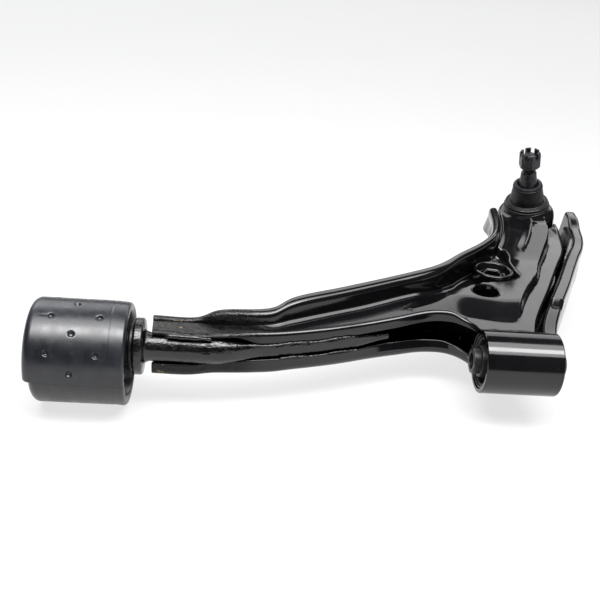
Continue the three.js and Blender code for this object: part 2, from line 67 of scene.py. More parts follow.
# ---------------------------------------- driving dimensions
FIT = 0.4
SHEET, RAIL_SHEET, RIM = 3.0, 2.8, 0.8
FLOOR_Z = -18.5
COVER_Z = 15.0
PLATEAU_RISE, LEG_RISE, LEG_SLOPE, NECK_SLOPE = 8.0, 3.5, 0.10, 0.135
RIDGE_HEIGHT, CUP_RISE, SCRATCH_DEPTH = 2.4, 4.0, 0.4
CHANNEL_INSET, COVER_INSET = 15.0, 17.0

EYE_RADIUS, EYE_BORE, EYE_HALF = 25.0, 21.6, 30.0
SLEEVE_RADIUS, SLEEVE_BORE, SLEEVE_HALF = 10.0, 6.5, 36.5
SHELL_RADIUS, SHELL_WALL, SHELL_HALF = 21.2, 1.6, 29.0

PIN_RADIUS, PIN_COLLAR, PIN_STUB = 11.2, 21.7, 9.0
PIN_Y, PIN_Z = -2.6, -0.7
BUSH_RADIUS, BUSH_DROP, BUSH_LEFT, BUSH_RIGHT = 40.6, 7.8, -372.5, -299.5
BUSH_RECESS, BUSH_FILLET = 12.0, 13.0
PIN_LEFT, PIN_STEP, COLLAR_LEFT, COLLAR_RIGHT, PIN_END = -367, -306, -296.2, -289.4, -97
REAR_SLEEVE_RADIUS, REAR_FLANGE_RADIUS, REAR_FLANGE_LEFT, REAR_FLANGE_RIGHT = 16, 19, -299.2, -296.6

STUD_AXIS = np.array([-0.185, -0.21, 1.0]) / np.linalg.norm([-0.185, -0.21, 1.0])
END_CENTRE = np.array([77.7, 275.5, 24.0])
BALL_BELOW, BALL_RADIUS = 4.0, 13.0
HOUSING_RADIUS, FLANGE_RADIUS, HOUSING_TOP, HOUSING_BOTTOM = 21.2, 23.4, 14.4, -36.0
CUP_RADIUS, CUP_TOP, CUP_BOTTOM = 29.2, 11.0, -44.0
NUT_FLATS, NUT_BOTTOM, NUT_HEIGHT, NUT_BORE = 19.0, 59.5, 17.4, 6.3
SLOT_WIDTH, SLOT_DEPTH = 4.0, 7.0

# The arm's outlines in plan: x and y, and for the far rail its crown height as well.
FAR_RAIL = [
    (-284, 18, 17), (-249, 18, 17.5), (-236, 19, 24), (-203, 23, 25), (-191, 25, 26.5), (-179, 33, 31),
    (-135, 56, 33), (-91, 78, 35.5), (-52, 98, 39), (-26, 127, 39.5), (3, 162, 38.5), (15, 181, 39),
    (25, 215, 38), (33, 260, 36),
]
NEAR_EDGE = [
    (-282, -11), (-256, -11), (-235, -6), (-210, -3), (-180, 3.5), (-145, 14.5), (-118, 25), (-90, 35),
    (-66, 43), (-47, 43.5), (-36, 38.5), (-28, 29), (-26, 23),
]
EYE_EDGE = [(-26, 23), (-22.5, 19), (-14, 17.5), (4, 17.7), (20, 21.5)]
RIGHT_RAIL = [
    (34.5, 17), (41, 37), (49, 56), (58, 75), (70, 100), (84, 131), (100, 166), (112.5, 192),
    (120.5, 215), (127.5, 250), (130.5, 274),
]
PLATEAU_RIGHT = [
    (-6, 20), (4, 34), (12, 46), (24, 75), (38, 103), (51, 127), (60, 152), (75, 186), (87, 216),
    (91, 240), (89, 262),
]
PLATEAU_LEFT = [
    (-130, 30), (-64, 55), (-47, 69), (-34, 83), (-21, 92), (-2, 102), (19, 108), (30, 119), (29, 135),
    (28, 150), (31, 163), (29, 174), (18, 181), (0, 186), (-30, 190),
]
PLATEAU_FRONT = [(-90, 26), (-54, 41), (-34, 45), (-18, 42), (-4, 39.5), (12, 41), (34, 46)]
NECK_RIDGE = [(74, 254), (68, 228), (61, 205), (52, 184), (46, 169)]
SCRATCHES = [[(-82.3, 52.3), (-75.5, 58.6)], [(-82.3, 52.3), (-79, 45.8)]]
# Along the right rail: y and crown height.
RAIL_HEIGHTS = [(17, 17), (61, 21.0), (64.5, 27), (200, 27), (236, 27), (262, 32), (274, 32)]
SEAT_X, SEAT_Y, SEAT_RADIUS, SEAT_BORE, SEAT_TOP = 6.3, 124.0, 18.0, 7.0, 25.5
HOLE_X, HOLE_Y, HOLE_RADIUS = -9.5, 82.6, 11.6


# ---------------------------------------- curves and profiles
def ramp(x, pairs):
    """Value at x of (x, value) pairs, eased between them and level outside."""
    x = np.asarray(x, float)
    value = np.full(x.shape, float(pairs[0][1]))
    for (x0, v0), (x1, v1) in zip(pairs, pairs[1:]):
        t = np.clip((x - x0) / (x1 - x0), 0, 1)
        value = value + (v1 - v0) * t * t * (3 - 2 * t)
    return value


def unit(v):
    v = np.asarray(v, float)
    return v / np.linalg.norm(v, axis=-1, keepdims=True)


class Path:
    """A smooth curve through a few points, measured by the share of its length."""

    def __init__(self, points, steps=60):
        p = np.array(points, float)
        p = np.vstack([2 * p[0] - p[1], p, 2 * p[-1] - p[-2]])
        dense = []
        for a, b, c, d in zip(p, p[1:], p[2:], p[3:]):
            k0, k1, k2 = (max(np.linalg.norm(q - r), 1e-6) ** 0.5 for q, r in ((b, a), (c, b), (d, c)))
            start = ((b - a) / k0 - (c - a) / (k0 + k1) + (c - b) / k1) * k1
            end = ((c - b) / k1 - (d - b) / (k1 + k2) + (d - c) / k2) * k1
            for t in np.arange(steps) / steps:
                dense.append(
                    b * (2 * t**3 - 3 * t**2 + 1) + c * (3 * t**2 - 2 * t**3)
                    + start * (t**3 - 2 * t**2 + t) + end * (t**3 - t**2)
                )
        dense.append(p[-2])
        self.points = np.array(dense)
        lengths = np.linalg.norm(np.diff(self.points, axis=0), axis=1)
        self.length = lengths.sum()
        self.shares = np.concatenate([[0], np.cumsum(lengths)]) / self.length

    def at(self, share):
        return np.stack([np.interp(share, self.shares, c) for c in self.points.T], -1)

    def along(self, share):
        step = 4e-3
        share = np.asarray(share, float)
        return unit(self.at(np.minimum(share + step, 1)) - self.at(np.maximum(share - step, 0)))


def rounded(corners, steps=6, closed=False):
    """A polyline whose corners (u, h, radius) are rounded, with a loop beside each rounding."""
    points = np.array([c[:2] for c in corners], float)
    radii = [c[2] if len(c) > 2 else 0 for c in corners]
    count = len(points)
    out = []
    for k in range(count):
        if not closed and k in (0, count - 1):
            out.append(points[k])
            continue
        before = points[k - 1] - points[k]
        after = points[(k + 1) % count] - points[k]
        room_before, room_after = np.linalg.norm(before), np.linalg.norm(after)
        before, after = before / room_before, after / room_after
        bend = math.acos(np.clip(-before @ after, -1, 1))
        if radii[k] == 0:
            out.append(points[k])
            continue
        if bend < 1e-3:
            reach = min(radii[k], 0.4 * room_before, 0.4 * room_after)
            out.extend(points[k] + after * reach * t for t in np.linspace(-1, 1, steps + 3))
            continue
        share_before = 0.46 if radii[k - 1] else 0.9
        share_after = 0.46 if radii[(k + 1) % count] else 0.9
        trim = min(radii[k] * math.tan(bend / 2), share_before * room_before, share_after * room_after)
        radius = trim / math.tan(bend / 2)
        centre = points[k] + unit(before + after) * radius / math.cos(bend / 2)
        first = points[k] + before * trim - centre
        side = unit(points[k] + after * trim - centre - first * math.cos(bend))
        out.append(points[k] + before * trim * 1.06)
        for t in np.linspace(0, bend, steps + 1):
            out.append(centre + first * math.cos(t) + side * radius * math.sin(t))
        out.append(points[k] + after * trim * 1.06)
    return np.array(out)


def soften(rows, reach):
    """Evens a grid of points out along its first direction, keeping both ends."""
    kernel = np.exp(-0.5 * (np.arange(-3 * reach, 3 * reach + 1) / reach) ** 2)
    kernel /= kernel.sum()
    pad = 3 * reach
    head = 2 * rows[:1] - rows[pad:0:-1]
    tail = 2 * rows[-1:] - rows[-2:-pad - 2:-1]
    full = np.concatenate([head, rows, tail])
    return sum(w * full[k:k + len(rows)] for k, w in enumerate(kernel))


# ---------------------------------------- mesh helpers
def make_object(name, points, faces):
    mesh = bpy.data.meshes.new(name)
    mesh.from_pydata((np.asarray(points, float) * MM).tolist(), [], faces)
    made = bpy.data.objects.new(name, mesh)
    bpy.context.scene.collection.objects.link(made)
    return made


def face_outwards(obj):
    bm = bmesh.new()
    bm.from_mesh(obj.data)
    bmesh.ops.recalc_face_normals(bm, faces=bm.faces)
    bm.to_mesh(obj.data)
    bm.free()
    return obj


def grid_faces(rows, columns, wrap_rows=False, wrap_columns=False):
    """Faces of a grid of points numbered row by row."""
    faces = []
    for i in range(rows if wrap_rows else rows - 1):
        for j in range(columns if wrap_columns else columns - 1):
            a, b = i, (i + 1) % rows
            c, d = j, (j + 1) % columns
            faces.append([a * columns + c, b * columns + c, b * columns + d, a * columns + d])
    return faces


def capped_tube(name, rings, start, end):
    """A closed skin over rings of points, drawn to one point at each end."""
    count, around = rings.shape[:2]
    faces = grid_faces(count, around, False, True)
    low, high = count * around, count * around + 1
    last = (count - 1) * around
    for j in range(around):
        k = (j + 1) % around
        faces.append([low, k, j])
        faces.append([high, last + j, last + k])
    return face_outwards(make_object(name, np.vstack([rings.reshape(-1, 3), start, end]), faces))


def settle(obj):
    """Applies the object's modifiers to its mesh."""
    graph = bpy.context.evaluated_depsgraph_get()
    mesh = bpy.data.meshes.new_from_object(obj.evaluated_get(graph), depsgraph=graph)
    old = obj.data
    obj.modifiers.clear()
    obj.data = mesh
    bpy.data.meshes.remove(old)
    mesh.name = obj.name
    return obj


def combine(obj, other, operation):
    """Joins or cuts obj with other, which is used up."""
    modifier = obj.modifiers.new("combine", "BOOLEAN")
    modifier.operation = operation
    modifier.solver = "EXACT"
    modifier.object = other
    settle(obj)
    bpy.data.objects.remove(other)
    return obj


def mean_direction(points, axis):
    """Unit tangents of a grid of points along one of its directions.
    Of the two steps beside a point, the shorter one counts for more."""
    steps = np.diff(points, axis=axis)
    size = np.linalg.norm(steps, axis=-1, keepdims=True) + 1e-9
    steps = steps / size

    def widened(values):
        first, last = np.take(values, [0], axis), np.take(values, [-1], axis)
        return np.concatenate([first, values], axis), np.concatenate([values, last], axis)

    (before, after), (size_before, size_after) = widened(steps), widened(size)
    return unit(before * size_after + after * size_before)


def sheet_solid(name, top, thickness, rim=RIM, base=None):
    """A closed sheet under a grid of top points, its rims rounded and standing out by the rim radius.
    The thickness is one value or one per column; a smoother base grid can carry the underside."""
    base = top if base is None else base
    thickness = np.broadcast_to(thickness, (top.shape[1], 1))
    lengthwise = mean_direction(base, 0)
    crossways = mean_direction(base, 1)
    normal = unit(np.cross(crossways, lengthwise))
    arc = np.radians([30, 60, 90])

    def loop(i, shrink, push):
        p = top[i] + lengthwise[i] * push
        below = base[i] + lengthwise[i] * push
        n = normal[i]
        small = rim - shrink
        under = thickness - shrink
        out = list(p - n * shrink)
        for end, sign in ((-1, 1), (0, -1)):
            o = crossways[i, end] * sign
            edge = [p[end] - n[end] * (rim - small * math.cos(a)) + o * small * math.sin(a) for a in arc]
            edge += [
                p[end] - n[end] * (thickness[end] - rim + small * math.cos(a)) + o * small * math.sin(a)
                for a in arc[::-1]
            ]
            if end:
                out += edge
                out += list((below - n * under)[::-1])
            else:
                out += edge[::-1]
        return out

    rounds = [(rim * (1 - math.cos(a)), rim * math.sin(a)) for a in np.radians([75, 50, 25])]
    last = len(top) - 1
    rows = [loop(0, s, -d) for s, d in rounds]
    rows += [loop(i, 0, 0) for i in range(last + 1)]
    rows += [loop(last, s, d) for s, d in rounds[::-1]]
    width = top.shape[1]
    around = len(rows[0])
    faces = grid_faces(len(rows), around, False, True)
    for first in (0, (len(rows) - 1) * around):
        for j in range(width - 1):
            faces.append([first + j, first + j + 1, first + 2 * width + 4 - j, first + 2 * width + 5 - j])
        faces.append([first + k for k in range(width - 1, width + 7)])
        faces.append([first + k for k in range(2 * width + 5, around)] + [first])
    return face_outwards(make_object(name, np.array(rows).reshape(-1, 3), faces))


class Axis:
    """A local frame for turned parts: height runs along the axis from the origin."""

    def __init__(self, origin, axis, across):
        self.origin = np.array(origin, float)
        self.w = unit(axis)
        self.u = unit(np.array(across, float) - self.w * (self.w @ np.array(across, float)))
        self.v = np.cross(self.w, self.u)

    def place(self, radius, angle, height):
        radius, angle, height = np.broadcast_arrays(radius, angle, height)
        return (
            self.origin + (radius * np.cos(angle))[..., None] * self.u
            + (radius * np.sin(angle))[..., None] * self.v + height[..., None] * self.w
        )


ALONG_X = Axis((0, 0, 0), (1, 0, 0), (0, 1, 0))
PIN_LINE = Axis((0, PIN_Y, PIN_Z), (1, 0, 0), (0, 1, 0))
BUSH_LINE = Axis((0, PIN_Y, PIN_Z - BUSH_DROP), (1, 0, 0), (0, 1, 0))
STUD_LINE = Axis(END_CENTRE, STUD_AXIS, (1, 0, 0))
SEAT_LINE = Axis((SEAT_X, SEAT_Y, 0), (0, 0, 1), (1, 0, 0))


def turned(name, axis, corners, segments=128, steps=5, closed=True, shift=None):
    """A turned solid from (radius, height, rounding) corners; an open profile starts and ends on the axis.
    shift(radius, angle, height) may return a changed radius and height."""
    profile = rounded(corners, steps, closed)
    angles = np.arange(segments) * TURN / segments
    radius, angle = np.meshgrid(profile[:, 0], angles)
    height = np.broadcast_to(profile[:, 1], radius.shape)
    if shift:
        radius, height = shift(radius, angle, height)
    points = axis.place(radius, angle, height)
    if closed:
        faces = grid_faces(segments, len(profile), True, True)
        return face_outwards(make_object(name, points.reshape(-1, 3), faces))
    ends = [axis.place(0.0, 0.0, profile[k, 1]) for k in (0, -1)]
    return capped_tube(name, points[:, 1:-1].transpose(1, 0, 2), *ends)


def rod(name, axis, radius, low, high):
    """A plain cutter."""
    return turned(name, axis, [(0, low), (radius, low), (radius, high), (0, high)], 96, closed=False)


def eye_room():
    """Cuts the front eye's place free."""
    return rod("eye_room", ALONG_X, EYE_RADIUS + 0.1, -EYE_HALF - 0.4, EYE_HALF + 0.4)


def seat_room(low, high):
    """Cuts the link seat's place free."""
    return rod("seat_room", SEAT_LINE, SEAT_RADIUS + FIT, low, high)


def ragged(x, y, z, size, seed=0.0):
    """Smooth repeatable unevenness from -1 to 1 with features of about that size."""
    total = 0
    waves = [(1.0, 0.7, 0.4), (-0.6, 1.1, 0.8), (0.5, -0.9, 1.2), (1.4, 0.3, -1.0)]
    for k, (a, b, c) in enumerate(waves):
        total = total + np.sin((a * x + b * y + c * z) * TURN / size / (1 + 0.23 * k) + seed * (k + 1.7))
    return total / 4


# ---------------------------------------- the arm's plan
far_curve = Path(FAR_RAIL)
near_curve = Path(NEAR_EDGE)
right_curve = Path(RIGHT_RAIL)
eye_curve = Path(EYE_EDGE)

LEG, EYE, NECK = 19.0, 3.0, 10.0
LEG_END, EYE_END = LEG, LEG + EYE
LAST = LEG + EYE + NECK
leg_rows = np.linspace(0, LEG_END, 170)
eye_rows = np.linspace(LEG_END, EYE_END, 20)[1:]
neck_rows = np.linspace(EYE_END, LAST, 130)[1:]
stations = np.concatenate([leg_rows, eye_rows, neck_rows])


def inside_right(share, distance):
    point = right_curve.at(share)
    along = right_curve.along(share)
    return point + np.stack([-along[..., 1], along[..., 0]], -1) * np.asarray(distance)[..., None]


def near_y(x):
    return np.interp(x, near_curve.points[:, 0], near_curve.points[:, 1])


def inner_edge(station, distance):
    """The edge that faces inboard and forwards: leg, eye, then the right rail."""
    leg = near_curve.at(np.clip(station / LEG, 0, 1))
    t = np.clip((station - LEG_END) / EYE, 0, 1)
    eye = eye_curve.at(t) + (inside_right(0.0, distance) - EYE_EDGE[-1]) * t[:, None]
    neck = inside_right(np.clip((station - EYE_END) / NECK, 0, 1), distance)
    out = np.where((station <= LEG_END)[:, None], leg, eye)
    return np.where((station > EYE_END)[:, None], neck, out)


share = np.interp(stations, [0, LEG_END, EYE_END, LAST], [0, 0.655, 0.74, 1])
outer = soften(far_curve.at(share), 2)
crown_width = ramp(outer[:, 0], [(-250, 7), (-225, 10), (-170, 13.5), (-50, 13.5), (-18, 10.5), (12, 9)])
wall_lean = ramp(outer[:, 0], [(0, 1), (26, 6)])
across = unit(soften(unit(inner_edge(stations, 12.0) - outer[:, :2]), 7))


# ---------------------------------------- lower stamping
def channel_sheet():
    """The channel with its outer wall and the lip along the open side of the leg."""
    inner = inner_edge(stations, CHANNEL_INSET)
    flare = ramp(outer[:, 1], [(225, 0), (252, 3.5)])
    lip_depth = ramp(inner[:, 0], [(-262, 8), (-198, 10), (-90, 9.5), (-40, 8), (-26, 5)])
    leans = ramp(inner[:, 0], [(-130, 0), (-96, 3.5), (-50, 3.5), (-32, 0)])
    flat = ramp(stations, [(LEG_END - 0.6, 0), (LEG_END + 0.5, 1)])
    rows = []
    for i in range(len(stations)):
        z = outer[i, 2]
        crown = crown_width[i]
        foot = crown + wall_lean[i]
        skirt = min(22, z - 6) - RIM
        round_top = min(4.6, crown / 2.2)
        round_inner = min(7.2, crown / 2.2)
        edge = inner[i]
        inward = unit(outer[i, :2] - edge)
        space = np.linalg.norm(outer[i, :2] - edge) - foot
        beside = min(8, 0.4 * space)
        wall = rounded([
            (-flare[i], z - skirt), (0, z - round_top - 5, 3), (0, z, round_top), (crown, z, round_inner),
            (foot, FLOOR_Z, 4), (foot + beside, FLOOR_Z),
        ], 6)
        tall = lip_depth[i] - RIM
        lean = leans[i]
        inset = min(SHEET + 4, max(0.4 * space, SHEET + 1)) + lean
        corners = np.array([
            (inset, FLOOR_Z, 0), (SHEET, FLOOR_Z, 3), (SHEET + 0.85 * lean, FLOOR_Z + tall * 0.85, 0.1),
            (SHEET + 0.92 * lean, FLOOR_Z + tall * 0.92, 0.1), (SHEET + lean, FLOOR_Z + tall, 0),
        ])
        level = np.array([(inset * t, FLOOR_Z - 1.2 * (1 - t), 0.1) for t in (1, 0.7, 0.4, 0.2, 0)])
        turn = rounded(corners * (1 - flat[i]) + level * flat[i], 5)
        end = edge + inward * inset
        start = outer[i, :2] + across[i] * (foot + beside)
        row = [[*(outer[i, :2] + across[i] * u), h] for u, h in wall]
        row += [[*(start * (1 - t) + end * t), FLOOR_Z] for t in np.linspace(0, 1, 7)[1:-1]]
        row += [[*(edge + inward * u), h] for u, h in turn]
        rows.append(row)
    rows = np.array(rows)
    columns = np.arange(rows.shape[1])
    thin = ramp(columns, [(3, 0), (9, 1), (24, 1), (30, 0)])
    return sheet_solid("lower_stamping", rows, (SHEET - thin)[:, None])


def right_rail():
    """The folded rail down the right side, whose foot lies over the channel floor."""
    rows = []
    for share in np.linspace(0, 1, 130):
        top = float(ramp(right_curve.at(share)[1], RAIL_HEIGHTS))
        section = rounded([
            (24, FLOOR_Z), (17, FLOOR_Z, 4), (11.2, top, 3.8), (0, top, 4), (0, -8 + RIM),
        ], 6)
        rows.append([[*inside_right(share, np.float64(u)), h] for u, h in section])
    return sheet_solid("right_rail", np.array(rows), RAIL_SHEET)


def lower_stamping():
    """Channel, rail and the cup of the ball joint, as one pressed piece."""
    sheet = channel_sheet()
    combine(sheet, right_rail(), "UNION")
    combine(sheet, eye_room(), "DIFFERENCE")
    combine(sheet, seat_room(8, SEAT_TOP + 1), "DIFFERENCE")
    cup = turned("cup", STUD_LINE, [
        (HOUSING_RADIUS - 3, CUP_BOTTOM), (CUP_RADIUS, CUP_BOTTOM, 1.5), (CUP_RADIUS, CUP_TOP, 9),
        (HOUSING_RADIUS - 3, CUP_TOP),
    ], 144, 10)
    combine(sheet, cup, "UNION")
    bore = rod("bore", STUD_LINE, HOUSING_RADIUS + 0.1, CUP_BOTTOM - 12, CUP_TOP + 2)
    return combine(sheet, bore, "DIFFERENCE")


# ---------------------------------------- cover plate
def nearest(x, y, line):
    """Distance from a polyline, positive on its left, and the share of its length of the nearest point."""
    best = np.full(x.shape, np.inf)
    signed = np.zeros(x.shape)
    place = np.zeros(x.shape)
    lengths = np.linalg.norm(np.diff(line, axis=0), axis=1)
    run = np.concatenate([[0], np.cumsum(lengths)]) / lengths.sum()
    for k, (a, b) in enumerate(zip(line, line[1:])):
        d = b - a
        t = np.clip(((x - a[0]) * d[0] + (y - a[1]) * d[1]) / (d @ d), 0, 1)
        px, py = x - a[0] - d[0] * t, y - a[1] - d[1] * t
        distance = np.hypot(px, py)
        closer = distance < best
        best = np.where(closer, distance, best)
        signed = np.where(closer, distance * np.sign(d[0] * py - d[1] * px), signed)
        place = np.where(closer, run[k] + t * (run[k + 1] - run[k]), place)
    return signed, place


plateau_right = Path(PLATEAU_RIGHT, 8).points
plateau_left = Path(PLATEAU_LEFT, 8).points
plateau_front = Path(PLATEAU_FRONT, 8).points
neck_ridge = Path(NECK_RIDGE, 8).points


def cover_height(x, y, finished=True):
    """Height of the cover plate's top face, or of the smoother face its underside follows."""
    slack = 0 if finished else 1
    right, _ = nearest(x, y, plateau_right)
    left, _ = nearest(x, y, plateau_left)
    front, _ = nearest(x, y, plateau_front)
    inside = ramp(right, [(-0.5 - 4.5 * slack, 0), (4 + 8 * slack, 1)])
    inside = inside * ramp(-left, [(-5.5 - 4 * slack, 0), (0.5 + 8 * slack, 1)])
    inside = inside * (1 - (1 - np.clip((front + 4 * slack) / (27 + 10 * slack), 0, 1)) ** 1.4)
    inside = inside * ramp(x - 0.35 * (y - 50), [(-90, 0), (-34, 1)])
    leg = LEG_RISE * ramp(x, [(-130, 0), (-60, 1), (-47, 1), (-30, 0)])
    leg = leg + LEG_SLOPE * (y - near_y(x) - 12) * ramp(x, [(-215, 0), (-185, 1), (-75, 1), (-50, 0)])
    neck_rise = NECK_SLOPE * (np.hypot(np.clip(y - 152, 0, 80), 16) - 16)
    height = COVER_Z + leg + (PLATEAU_RISE + neck_rise - leg) * inside
    if not finished:
        return height
    # The top face also has the neck's ridge, a rise to the cup, two scratches and a dip round the hole.
    across_ridge, place = nearest(x, y, neck_ridge)
    gentle, steep = ramp(across_ridge, [(-8, 0), (0, 1)]), ramp(across_ridge, [(0, 1), (2.4, 0)])
    ridge = np.where(across_ridge < 0, gentle, steep)
    height = height + RIDGE_HEIGHT * ridge * ramp(place, [(0, 0.2), (0.3, 1), (0.8, 1), (1, 0)])
    cup_rim = END_CENTRE + STUD_AXIS * 4
    from_cup = np.hypot(x - cup_rim[0], y - cup_rim[1]) - CUP_RADIUS
    height = height + CUP_RISE * np.clip(1 - from_cup / 13, 0, 1) ** 2
    for line in SCRATCHES:
        from_line, _ = nearest(x, y, np.array(line))
        t = np.clip(1 - np.abs(from_line), 0, 1)
        height = height - SCRATCH_DEPTH * t * t * (3 - 2 * t)
    hole_rim = np.clip(1 - (np.hypot(x - HOLE_X, y - HOLE_Y) - HOLE_RADIUS) / 2.0, 0, 1)
    return height - hole_rim**2


def cover_plate():
    """The upper stamping: its top face, and a flange turned down along the open side."""
    inner = inner_edge(stations, COVER_INSET)
    flange = np.where(
        stations > LEG_END, 4.7, ramp(inner[:, 0], [(-222, 3.6), (-200, 9), (-50, 9), (-28, 4.7)])
    )
    trim = ramp(inner[:, 0], [(-278, 7), (-236, 1), (-215, 0)])
    upright = ramp(inner[:, 0], [(-236, 0), (-206, 1)])
    climbs = ramp(outer[:, 0], [(-215, 0), (-185, 1.8), (10, 1.8), (24, 1)])
    rows, base = [], []
    for i in range(len(stations)):
        z = outer[i, 2]
        drop = z - 5 - COVER_Z
        lean = max(drop / (z - 5 - FLOOR_Z - 4), 0) * wall_lean[i]
        start = outer[i, :2] + across[i] * (crown_width[i] + 0.7 + lean + 0.7)
        toward = unit(inner[i] - start)
        edge = inner[i] - toward * trim[i]
        end = edge - toward * 4.2
        t = np.linspace(0, 1, 60)[:, None]
        plan = start * (1 - t) + end * t
        tip = (2.4 * (1 - upright[i]), -(flange[i] - 0.6) * upright[i] - 1.0 * (1 - upright[i]))
        turn = rounded([(-4.2, 0), (0, 0, 3.6), tip], 6)[1:]
        run = np.linalg.norm(plan - plan[0], axis=1)
        climb = climbs[i] * np.clip(1 - run / 5, 0, 1) ** 2
        for grid, finished in ((rows, True), (base, False)):
            height = cover_height(plan[:, 0], plan[:, 1], finished) + climb
            row = [[*p, h] for p, h in zip(plan, height)]
            row += [[*(edge + toward * u), height[-1] + h] for u, h in turn]
            grid.append(row)
    rows, base = np.array(rows), np.array(base)
    sheet = sheet_solid("cover_plate_skin", rows, SHEET, base=base)
    combine(sheet, rod("cup_room", STUD_LINE, CUP_RADIUS + 0.15, CUP_BOTTOM - 20, 30), "DIFFERENCE")
    combine(sheet, eye_room(), "DIFFERENCE")
    hole = Axis((HOLE_X, HOLE_Y, 0), (0, 0, 1), (1, 0, 0))
    combine(sheet, rod("hole", hole, HOLE_RADIUS, 0, 40), "DIFFERENCE")
    return combine(sheet, seat_room(0, 40), "DIFFERENCE")


# ---------------------------------------- rear pin
def rear_pin():
    """The forged pin: turned with a collar at the bushing, flattened to a blade inside the leg."""
    corners = [
        (PIN_LEFT, 0), (PIN_LEFT, PIN_STUB, 1), (PIN_STEP, PIN_STUB, 0.5),
        (PIN_STEP + 0.4, PIN_RADIUS, 0.5), (COLLAR_LEFT, PIN_RADIUS, 0.5), (COLLAR_LEFT, PIN_COLLAR, 1.6),
        (COLLAR_RIGHT, PIN_COLLAR, 1.8), (COLLAR_RIGHT + 1, PIN_RADIUS + 1.4, 2.4),
        (COLLAR_RIGHT + 4.4, PIN_RADIUS, 3), (-246, PIN_RADIUS, 1), (-244, PIN_RADIUS),
    ]
    stops = rounded(corners, 6)[1:]
    x = np.concatenate([stops[:, 0], np.arange(-243, PIN_END, 1.6), [PIN_END]])
    round_radius = np.concatenate([stops[:, 1], np.full(len(x) - len(stops), PIN_RADIUS)])
    flat = ramp(x, [(-240, 0), (-200, 1)])[:, None]
    blade = ramp(x, [(-128, 0), (PIN_END, 1)])[:, None]
    angle = (np.arange(80) * TURN / 80)[None, :]
    c, s = np.cos(angle), np.sin(angle)
    squareness = 1 - 0.45 * flat
    half_y = round_radius[:, None] * (1 - flat) + 3.8 * flat * (1 - 0.5 * blade)
    half_z = round_radius[:, None] * (1 - flat) + 5.6 * flat * (1 - 0.6 * blade)
    y = PIN_Y * (1 - flat) + (near_y(x)[:, None] + 4.4) * flat
    z = PIN_Z * (1 - flat) - 1.6 * flat
    y = y + np.sign(c) * np.abs(c) ** squareness * half_y
    z = z + np.sign(s) * np.abs(s) ** squareness * half_z
    xx = np.broadcast_to(x[:, None], y.shape)
    rough = ramp(xx, [(-290, 0), (-284, 1)]) * 0.18
    uneven = ragged(xx, y, z, 7.0) + 0.6 * ragged(xx, y, z, 3.1, 2.0)
    y = y + rough * uneven * c
    z = z + rough * uneven * s
    points = np.stack([xx, y, z], -1)
    return capped_tube("rear_pin_forging", points, points[0].mean(0), points[-1].mean(0))


# ---------------------------------------- rear bushing
SPLIT_ANGLES = (math.radians(-7), math.radians(187))
MIDDLE_DIMPLES = (6, 48, 90, 132, 174)
SIDE_DIMPLES = (27, 69, 111, 153)
DIMPLE_COLUMNS = (-354.5, -338.0, -319.5)
MOULD_RINGS = (-362.5, -312.0)


def rear_rubber():
    """The moulded rubber: dimples above, a stepped block below and a mould ring near each end."""
    left, right, r = BUSH_LEFT, BUSH_RIGHT, BUSH_RADIUS
    profile = rounded([
        (0, left + 1.2), (24, left + 1.2, 6), (27, left, 4), (r, left, BUSH_FILLET), (r, left + 14.6),
    ], 8)
    barrel = np.stack([np.full(74, r), np.linspace(left + 15.3, right - 6, 74)], -1)
    lip = rounded([
        (r, right - 5.5), (r - 0.6, right, 3.4), (r - 6.6, right, 3), (r - 8.5, right - BUSH_RECESS, 2),
        (20, right - BUSH_RECESS), (0, right - BUSH_RECESS),
    ], 6)
    profile = np.vstack([profile[:-1], barrel, lip])
    above, below = np.linspace(-8, 188, 240), np.linspace(188, 352, 72)[1:-1]
    split = [a + d / r for a in SPLIT_ANGLES for d in (-0.9, -0.45, -0.15, 0.15, 0.45, 0.9)]
    angles = np.concatenate([np.radians(above), np.radians(below), split]) % TURN
    angles = np.unique(np.round(angles, 5))
    radius, angle = np.meshgrid(profile[:, 0], angles)
    height = np.broadcast_to(profile[:, 1], radius.shape).copy()
    signed = (angle + math.pi) % TURN - math.pi
    side = np.minimum(np.abs(signed - SPLIT_ANGLES[0]), np.abs(signed % TURN - SPLIT_ANGLES[1]))
    lower = (angle > SPLIT_ANGLES[1]) & (angle < SPLIT_ANGLES[0] + TURN)
    outward = ramp(radius, [(24, 0), (34, 1)]) * ramp(height, [(right - 9, 1), (right - 1, 0.55)])
    at_split = np.clip(1 - side * r / 0.9, 0, 1)
    change = np.where(lower, 2.1, 0.0) + 0.9 * at_split
    for ring in MOULD_RINGS:
        change = change + 0.42 * np.clip(1 - np.abs(height - ring) / 0.75, 0, 1)
    change = change + 0.5 * ramp(height, [(-312, 0), (-303, 1)])
    for x, rows in zip(DIMPLE_COLUMNS, (SIDE_DIMPLES, MIDDLE_DIMPLES, SIDE_DIMPLES)):
        for degrees in rows:
            distance = np.hypot((angle - math.radians(degrees)) * r, height - x)
            pit = np.clip((2.7 - distance) / 1.5, 0, 1)
            change = change + 2.0 * pit * pit * (3 - 2 * pit)
    radius = radius - change * outward
    step_in = np.where(lower, 3.2, 0.0) * ramp(height, [(left, 1), (left + 22, 0)])
    height = height + step_in * ramp(radius, [(20, 0), (30, 1)])
    rings = BUSH_LINE.place(radius, angle, height)[:, 1:-1].transpose(1, 0, 2)
    ends = [BUSH_LINE.place(0.0, 0.0, h) for h in (left + 1.2, right - BUSH_RECESS)]
    made = capped_tube("rear_bush_moulding", rings, *ends)
    sleeve_room = rod("sleeve_room", PIN_LINE, REAR_SLEEVE_RADIUS + 0.3, left - 5, right + 5)
    return combine(made, sleeve_room, "DIFFERENCE")


